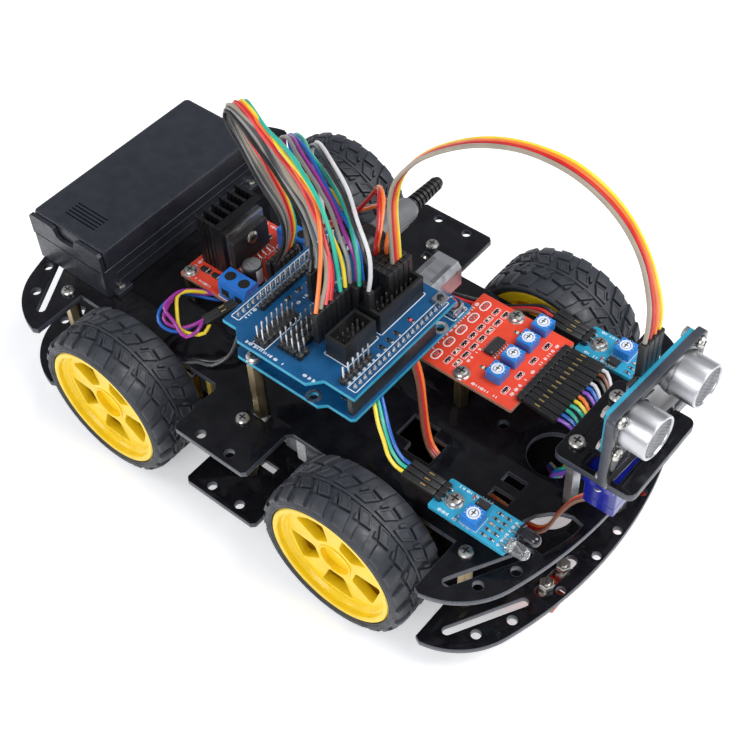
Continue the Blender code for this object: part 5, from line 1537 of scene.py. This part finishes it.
def power_plug():
    """The barrel plug in the controller's power socket, up to the end of its relief."""
    x, z, start = CONTROLLER[0][0] + 7.75, CONTROLLER[2] + BOARD + 6.2, 18.2
    shape = Shape()
    shape.place = Matrix.Translation((x, start, z)) @ Matrix.Rotation(math.radians(-90), 4, "X")
    shape.turned([(2.7, -8.0), (2.75, 0.3)], TIN, 30)
    shape.turned([(4.3, 0.0), (4.9, 0.5), (5.0, 1.2), (5.0, 16.0), (4.7, 18.2), (4.0, 19.8), (3.4, 20.2)],
                 GREY, 48)
    for i in range(14):
        a = 2 * math.pi * i / 14
        shape.place = Matrix.Translation((x, start, z)) @ Matrix.Rotation(math.radians(-90), 4, "X")
        shape.place = shape.place @ Matrix.Rotation(a, 4, "Z")
        shape.housing((4.75, 5.25), (-0.35, 0.35), [(0.1, 3.0), (0, 3.4), (0, 12.6), (0.1, 13.0)], GREY, 0.2)
    shape.place = Matrix.Translation((x, start, z)) @ Matrix.Rotation(math.radians(-90), 4, "X")
    profile = [(2.3, 19.5)]
    for i in range(8):
        low = 20.0 + 2.1 * i
        wide = 3.3 - 0.08 * i
        profile += [(wide, low), (wide, low + 1.2), (2.3, low + 1.3), (2.3, low + 2.05)]
    profile += [(2.2, 37.2), (1.9, 37.7)]
    shape.turned(profile, BLACK, 36)
    shape.piece("barrel_plug", "chassis", "plug_plastic", ("power_plug",))


# ---- jumper leads ----

def along(route, count):
    """Points at equal distances on the smooth curve through a route."""
    line = smooth(route, 14)
    lengths = [0.0]
    for a, b in zip(line, line[1:]):
        lengths.append(lengths[-1] + (b - a).length)
    points, k = [], 0
    for i in range(count + 1):
        wanted = lengths[-1] * i / count
        while k < len(line) - 2 and lengths[k + 1] < wanted:
            k += 1
        share = (wanted - lengths[k]) / max(1e-9, lengths[k + 1] - lengths[k])
        points.append(line[k].lerp(line[k + 1], min(1.0, share)))
    return points, lengths[-1]


def ribbon(name, near, far, colours, ends=None, bodies=None, replaces=(), stray=0.35):
    """A group of jumper leads laid side by side from the near route to the far one.

    ends are the places where single leads finish, where they part from the group."""
    near, far = [Vector(p) for p in near], [Vector(p) for p in far]
    middle, length = along([a.lerp(b, 0.5) for a, b in zip(near, far)], 60)
    count = max(24, int(length / 2.2))
    shape = Shape()
    lines = []
    last = len(colours) - 1
    for i, colour in enumerate(colours):
        t = i / last if last else 0.5
        route = [a.lerp(b, t) for a, b in zip(near, far)]
        if ends:
            shift = Vector(ends[i]) - route[-1]
            route[-1] = Vector(ends[i])
            route[-2] = route[-2] + shift * 0.8
            route[-3] = route[-3] + shift * 0.4
        phase = random.random() * 6.28
        for k in range(2, len(route) - 2):
            route[k] = route[k] + Vector((math.sin(phase + k * 1.9), math.cos(phase * 1.7 + k * 2.3),
                                          math.sin(phase * 0.6 + k * 1.3))) * stray
        line, _ = along(route, count)
        lines.append(line)
        shape.tube(line, WIRE_R, WIRES[colour], 10)
    path = [sum((line[k] for line in lines), Vector()) / len(lines) for k in range(count + 1)]
    mesh = shape.mesh(name)
    obj = bpy.data.objects.new(name, mesh)
    bpy.context.scene.collection.objects.link(obj)
    obj.matrix_world = Matrix.Translation((CENTRE_X, 0, 0))
    if bodies:
        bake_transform(obj)
    else:
        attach(obj, "chassis")
    if replaces:
        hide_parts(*replaces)
    width = max((lines[0][k] - lines[-1][k]).length for k in range(count + 1)) + 2 * WIRE_R
    total = sum((b - a).length for a, b in zip(path, path[1:]))
    width = min(width, total / 6.2)


def upright_plugs(name, tops, low, replaces=()):
    """Crimp housings that stand on pins, one for each (x, y) and its lean."""
    shape = Shape()
    for x, y, lean_x, lean_y in tops:
        plug(shape, (x, y, low), (lean_x, lean_y, 1), 1, (0, 1, 0))
    return shape.piece(name, "chassis", "black_plastic", replaces)


def shifted(route, x=0.0, y=0.0, z=0.0):
    """The same route, moved."""
    return [(a + x, b + y, c + z) for a, b, c in route]


def leads():
    """The groups of jumper leads that run over the shield, and the plugs on their ends."""
    top = SHIELD[2] + BOARD
    upright_plugs("driver_plugs", [(-28.5 + 2.54 * (k % 2), -6.35 + 1.27 * k, -0.02, 0.004 * (k - 5))
                                   for k in range(11)], DRIVER[2] + BOARD + 2.5)
    near = [(-26.0, -6.2, 74.5), (-22.0, -4.2, 86.0), (-23.8, -2.4, 97.3), (-33.3, -2.0, 109.3),
            (-41.0, -2.0, 121.2),
            (-46.0, -2.0, 131.0), (-45.1, -2.3, 136.6), (-38.3, -4.1, 136.4), (-27.8, -6.7, 134.2),
            (-18.0, -9.2, 128.7), (-9.3, -11.4, 123.4), (-1.4, -13.4, 119.9), (6.0, -15.6, 118.0),
            (12.0, -18.5, 115.4), (14.0, -20.4, 111.6)]
    far = [(-26.5, -2.2, 74.5), (-24.0, -0.6, 85.0), (-26.0, 1.2, 97.3), (-35.0, 1.6, 109.5),
           (-42.6, 1.8, 120.8),
           (-47.9, 1.8, 129.8), (-47.6, 1.6, 135.6), (-40.5, 0.1, 136.0), (-29.5, -2.8, 134.0),
           (-18.5, -5.8, 129.6), (-9.0, -9.0, 125.3), (-0.5, -11.8, 122.6), (7.5, -14.6, 121.4),
           (13.4, -18.0, 117.6), (16.4, -20.6, 111.6)]
    ribbon("leads_driver_near", near, far, ("black", "grey", "slate", "tan"),
           [(12.4, -26.0, 111.0), (13.0, -23.4, 111.0), (13.6, -20.8, 111.0), (25.6, -30.4, 111.8)],
           replaces=("driver_leads",))
    near = [(-27.0, -0.4, 74.5), (-25.2, 2.0, 85.0), (-28.0, 3.2, 97.0), (-36.2, 3.5, 109.0),
            (-43.6, 3.6, 120.4),
            (-48.6, 3.5, 129.4), (-48.0, 3.0, 134.8), (-40.5, 1.2, 135.4), (-29.0, -2.6, 134.6),
            (-15.5, -7.8, 132.8), (-1.5, -13.4, 132.4), (8.5, -18.6, 130.6), (17.4, -24.8, 125.8),
            (23.6, -31.5, 119.0), (27.1, -39.6, 111.9)]
    far = [(-28.5, 6.2, 74.5), (-27.5, 8.0, 84.0), (-31.0, 9.0, 96.0), (-38.6, 9.5, 108.4),
           (-45.6, 9.8, 118.6),
           (-49.2, 9.8, 126.6), (-47.8, 9.2, 132.4), (-39.5, 5.6, 135.2), (-27.0, -0.6, 136.6),
           (-13.8, -6.2, 137.8), (0.6, -12.6, 139.0), (11.5, -17.6, 136.6), (19.0, -21.6, 129.6),
           (24.4, -25.0, 121.0), (27.1, -27.0, 111.9)]
    ribbon("leads_driver_far", near, far, ("tan", "salmon", "red", "orange", "yellow", "teal"),
           [(27.1, -37.5, 111.9), (27.1, -35.0, 111.9), (27.1, -32.4, 111.9), (27.1, -39.9, 111.9),
            (27.1, -24.8, 111.9), (27.1, -27.3, 111.9)])
    route = [(-24.5, 13.5, 70.2), (-26.0, 14.0, 84.0), (-31.0, 14.5, 100.0), (-34.5, 15.0, 112.0),
             (-33.5, 14.5, 119.5), (-26.0, 11.0, 124.5), (-15.7, 4.5, 128.0), (-1.3, -3.4, 129.5),
             (12.0, -10.6, 129.0), (22.3, -16.0, 127.0), (28.5, -19.0, 122.0), (30.0, -19.8, 112.6)]
    ribbon("leads_control", shifted(route, -1.2, -2.0, 0.4), shifted(route, 1.6, 2.2, -0.4),
           ("grey", "magenta", "blue", "teal"),
           [(27.1, -22.3, 111.9), (28.4, -20.0, 111.9), (29.6, -18.8, 111.9), (30.4, -21.4, 111.9)],
           replaces=("control_leads",))
    pair = [(-23.0, 18.0, 70.2), (-24.0, 19.0, 86.0), (-27.5, 20.4, 101.0), (-27.8, 19.8, 110.5),
            (-23.6, 17.6, 118.6),
            (-14.5, 11.5, 125.8), (-3.1, 4.0, 130.6), (12.4, -6.4, 133.4), (24.9, -14.9, 132.4),
            (33.2, -19.6, 127.5), (34.6, -20.8, 119.5), (33.6, -20.9, 111.9)]
    ribbon("leads_pair", shifted(pair, -0.6, -0.8), shifted(pair, 0.4, 0.7, 0.5), ("black", "white"),
           [(32.6, -19.4, 111.9), (34.4, -21.4, 111.9)])
    cluster = [(27.1, y, 0.0, 0.0) for y in (-39.9, -37.4, -34.8, -32.3, -29.7, -27.2, -24.7, -22.1)]
    cluster += [(29.6, y, 0.0, 0.0) for y in (-19.6, -22.1)] + [(32.2, -19.6, 0.0, 0.0),
                                                                (34.6, -21.4, 0.0, 0.0)]
    upright_plugs("shield_plugs_near", cluster, top + 2.6)
    upright_plugs("shield_plugs_side", [(12.5, y, 0.0, 0.0) for y in (-26.0, -23.4, -20.9)], top + 1.6)
    grid = [(x, y, 0.0, 0.0) for x in (24.4, 26.9, 29.5, 32.1, 34.6) for y in (-11.0, -8.4, -5.9, -3.3, -0.8)]
    upright_plugs("shield_plugs_far", grid, top + 2.6)
    overhead = [(33.0, -5.0, 112.4), (32.6, -5.0, 122.0), (32.0, -4.8, 132.5), (32.2, -4.5, 140.0),
                (35.0, -4.2, 150.0), (42.5, -3.8, 161.5), (53.0, -3.4, 171.5), (66.0, -3.0, 180.0),
                (80.0, -2.7, 185.0), (94.0, -2.4, 185.8), (105.4, -2.1, 182.5), (115.0, -1.8, 175.5),
                (122.0, -1.4, 165.0), (126.5, -1.0, 152.0), (128.0, -1.0, 143.0), (128.0, -1.0, 136.1)]
    ribbon("leads_sensor", shifted(overhead, 0, -1.95), shifted(overhead, 0, 1.95),
           ("tan", "red", "orange", "yellow"),
           [(128.0, -4.8, 135.9), (128.0, -2.3, 135.9), (128.1, 0.3, 135.9), (128.2, 2.8, 135.9)],
           ("chassis", "sensor_head", (100.0, -1.0, 150.0), (128.0, -1.0, 150.0)), ("sensor_lead",), 0.12)
    tracking_leads()
    obstacle_leads()
    for number, (start, peak, end, colours) in enumerate((
            ((-27.5, 15.0, 70.0), (12.0, 12.0, 121.0), (25.4, -6.0, 111.9), ("red", "orange")),
            ((-25.0, 17.0, 70.0), (14.0, 16.0, 114.0), (28.0, -3.3, 111.9), ("orange", "brown")))):
        middle = [start, (start[0] + 5, start[1] + 4, 78.0), (-8.0, peak[1] + 6, 92.0),
                  (4.0, peak[1] + 4, peak[2] - 11),
                  peak, (peak[0] + 6, peak[1] - 6, peak[2] + 2), (end[0] - 2, end[1] + 4, end[2] + 8),
                  (end[0], end[1], end[2] + 4), end]
        ribbon(f"leads_loop_{number + 1}", shifted(middle, 0, -0.7), shifted(middle, 0, 0.7), colours)
    motor_loops()
    servo_lead()


def tracking_leads():
    """Four triples from the tracking board down through the cable hole to the probes."""
    groups = (("purple", "blue", "teal"), ("teal", "yellow", "orange"), ("purple", "blue", "white"),
              ("black", "brown", "white"))
    for g, (colours, probe) in enumerate(zip(groups, PROBE_YS)):
        y = FIRST_TRACKING_PIN_Y + PIN_PITCH * (3 * g + 1)
        rim = -5.4 + 3.6 * g
        middle = [(97.6, y, 68.4), (101.0, y * 0.98, 68.2), (105.0 + 0.5 * g, y * 0.82, 66.0 - g),
                  (108.0 + 0.4 * g, y * 0.55 + rim * 0.3, 60.0 - g), (107.6, rim + y * 0.12, 54.5),
                  (105.6 - 0.5 * abs(rim), rim, 49.4), (102.6, rim, 43.0), (99.6, rim * 1.2, 33.0),
                  (94.0, probe * 0.6, 23.5), (87.0, probe * 0.92, 16.6), (84.4, probe, 13.6), (87.6, probe,
                                                                                               13.2),
                  (91.6, probe, 13.3)]
        near, far = shifted(middle, 0, -1.3), shifted(middle, 0, 1.3)
        near[0], far[0] = shifted([middle[0]], 0, -PIN_PITCH)[0], shifted([middle[0]], 0, PIN_PITCH)[0]
        near[1], far[1] = shifted([middle[1]], 0, -2.2)[0], shifted([middle[1]], 0, 2.2)[0]
        ribbon(f"leads_tracking_{g + 1}", near, far, colours,
               [(91.6, probe - PIN_PITCH, 13.3), (91.6, probe, 13.3), (91.6, probe + PIN_PITCH, 13.3)],
               replaces=("tracking_leads",) if g == 0 else (), stray=0.25)


def obstacle_leads():
    """The leads of the two obstacle sensors."""
    near = [(67.4, -43.8, 63.8), (64.0, -43.8, 64.4), (60.4, -43.2, 67.0), (57.0, -41.6, 70.8),
            (53.4, -39.2, 74.6),
            (49.0, -36.0, 77.4), (44.0, -32.0, 79.0), (38.0, -28.0, 79.6)]
    ribbon("leads_obstacle_right", shifted(near, 0, -2.0), shifted(near, 0, 2.0), ("yellow", "teal", "blue"),
           replaces=("obstacle_leads",), stray=0.2)
    far = [(67.4, 43.8, 63.8), (62.0, 43.6, 64.6), (55.0, 42.4, 62.0), (47.0, 40.0, 58.4), (38.0, 35.6, 58.6),
           (30.0, 29.0, 63.4), (24.0, 21.0, 70.4), (21.0, 14.0, 76.6), (20.0, 8.0, 79.6)]
    ribbon("leads_obstacle_left", shifted(far, 0, -2.0), shifted(far, 0, 2.0), ("brown", "red", "black"),
           stray=0.3)


def motor_loops():
    """The leads of the near motors, looped beside the driver before they reach its terminal."""
    shape = Shape()
    for k in range(2):
        plug(shape, (-31.4 + 2.0 * k, -24.4 - 0.8 * k, 66.0), (-0.42, -0.86, -0.28), 1, (0.86, -0.42, 0))
    shape.piece("loop_plugs", "chassis", "black_plastic")
    first = [(-37.4, -36.6, 62.0), (-39.8, -41.0, 60.8), (-44.6, -44.6, 59.8), (-50.0, -44.4, 59.6),
             (-54.2, -39.6, 60.4), (-56.0, -33.0, 61.0), (-54.6, -27.4, 60.4), (-50.0, -23.6, 58.0),
             (-46.0, -20.0, 55.4), (-42.0, -16.0, 54.2)]
    ribbon("leads_motor_rear", shifted(first, 0.8, 0.2, 0.8), shifted(first, -0.8, -1.6, -0.6),
           ("magenta", "blue"), stray=0.7)
    second = [(-35.0, -37.4, 62.4), (-33.6, -42.2, 62.2), (-37.6, -45.4, 61.6), (-44.4, -44.2, 62.2),
              (-50.2, -40.6, 62.8), (-53.2, -35.0, 63.0), (-53.4, -29.6, 62.2), (-50.6, -24.8, 59.2),
              (-47.0, -20.6, 56.2), (-44.0, -16.0, 54.4)]
    ribbon("leads_motor_front", shifted(second, 0.9, 1.4, -0.8), shifted(second, -0.6, -0.8, 0.9),
           ("yellow", "magenta"), stray=0.9)
    under = [(-24.0, -31.0, 58.0), (-22.0, -38.0, 55.0), (-26.0, -44.0, 52.6), (-32.0, -47.0, 51.8),
             (-38.0, -49.8, 48.6), (-44.0, -47.0, 44.2), (-50.0, -42.0, 42.4), (-56.0, -38.0, 43.4)]
    ribbon("leads_motor_under", shifted(under, 0, -0.8), shifted(under, 0, 0.8), ("slate", "black"),
           stray=0.5)


def servo_lead():
    """The servo's flat lead, which runs between the decks and up to the shield."""
    route = [(124.0, -15.0, 65.0), (119.4, -19.0, 62.6), (116.2, -23.6, 56.4), (114.0, -26.4, 49.6),
             (108.0, -27.2, 45.2), (95.0, -25.6, 44.6), (80.0, -24.6, 44.6), (68.6, -24.0, 45.4),
             (61.6, -22.8, 48.4), (57.4, -20.6, 54.0), (53.6, -17.4, 62.0), (50.2, -14.6, 70.0),
             (46.0, -12.6, 76.4), (40.0, -11.0, 79.4)]
    ribbon("leads_servo", shifted(route, 0, -1.3), shifted(route, 0, 1.3), ("brown", "red", "orange"),
           stray=0.08)


# ---- view and light ----

def camera():
    """The view, from the right of the nose and above."""
    yaw, pitch, roll = math.radians(41.8458), math.radians(49.8153), math.radians(-3.2133)
    ahead = Vector((-math.cos(pitch) * math.sin(yaw), math.cos(pitch) * math.cos(yaw), -math.sin(pitch)))
    level = Vector((math.cos(yaw), math.sin(yaw), 0))
    above = level.cross(ahead)
    right = math.cos(roll) * level + math.sin(roll) * above
    up = -math.sin(roll) * level + math.cos(roll) * above
    data = bpy.data.cameras.new("view")
    data.sensor_width = 36
    data.lens = 65.008
    data.shift_x, data.shift_y = 0.0008, -0.0123
    data.clip_start = 0.01
    obj = bpy.data.objects.new("view", data)
    turned = Matrix((right, up, -ahead)).transposed().to_4x4()
    obj.matrix_world = Matrix.Translation(car(241.859, -252.283, 440.549)) @ turned
    bpy.context.scene.collection.objects.link(obj)
    bpy.context.scene.camera = obj


def area_light(name, place, target, size, watts, colour=(1, 1, 1)):
    data = bpy.data.lights.new(name, "AREA")
    data.shape = "RECTANGLE"
    data.size, data.size_y = size
    data.energy = watts
    data.color = colour
    obj = bpy.data.objects.new(name, data)
    obj.location = place
    obj.rotation_euler = (Vector(target) - Vector(place)).to_track_quat("-Z", "Y").to_euler()
    bpy.context.scene.collection.objects.link(obj)


def studio():
    """A pale floor, three soft lamps and a faint sky."""
    data = bpy.data.meshes.new("floor")
    reach = 4.0
    data.from_pydata([(-reach, -reach, 0), (reach, -reach, 0), (reach, reach, 0), (-reach, reach, 0)], [],
                     [(0, 1, 2, 3)])
    data.materials.append(FLOOR)
    floor = bpy.data.objects.new("floor", data)
    floor.location = (0, 0, -0.0005)
    bpy.context.scene.collection.objects.link(floor)
    area_light("key", (0.75, 0.35, 1.20), (0, 0, 0.05), (0.9, 0.9), 17)
    area_light("fill", (0.30, -1.20, 0.90), (0, 0, 0.05), (0.8, 0.8), 9)
    area_light("side", (-1.10, -0.60, 0.80), (0, 0, 0.04), (0.6, 0.6), 6)
    world = bpy.data.worlds.new("studio")
    world.use_nodes = True
    background = world.node_tree.nodes["Background"]
    background.inputs["Color"].default_value = (0.90, 0.93, 1.0, 1)
    background.inputs["Strength"].default_value = 0.30
    bpy.context.scene.world = world
    bpy.context.scene.view_settings.view_transform = "Standard"


FLOOR = finish("pale_floor", (0.93, 0.93, 0.935), 0.85, shade=0.01, bump=0.01, specular=0.1)
FLOOR_GLOW = FLOOR.node_tree.nodes["Principled BSDF"].inputs
FLOOR_GLOW["Emission Color"].default_value = (0.97, 0.98, 1.0, 1)
FLOOR_GLOW["Emission Strength"].default_value = 0.35
CYAN_MASK = finish("cyan_solder_mask", (0.03, 0.34, 0.55), 0.34, shade=0.08, bump=0.03, specular=0.35)

camera()
leads()
decks()
deck_pillars()
wheels()
motors()
battery()
motor_driver()
controller()
shield()
tracking_board()
obstacle_sensors()
line_probes()
platform()
servo()
sensor_head()
power_plug()
studio()
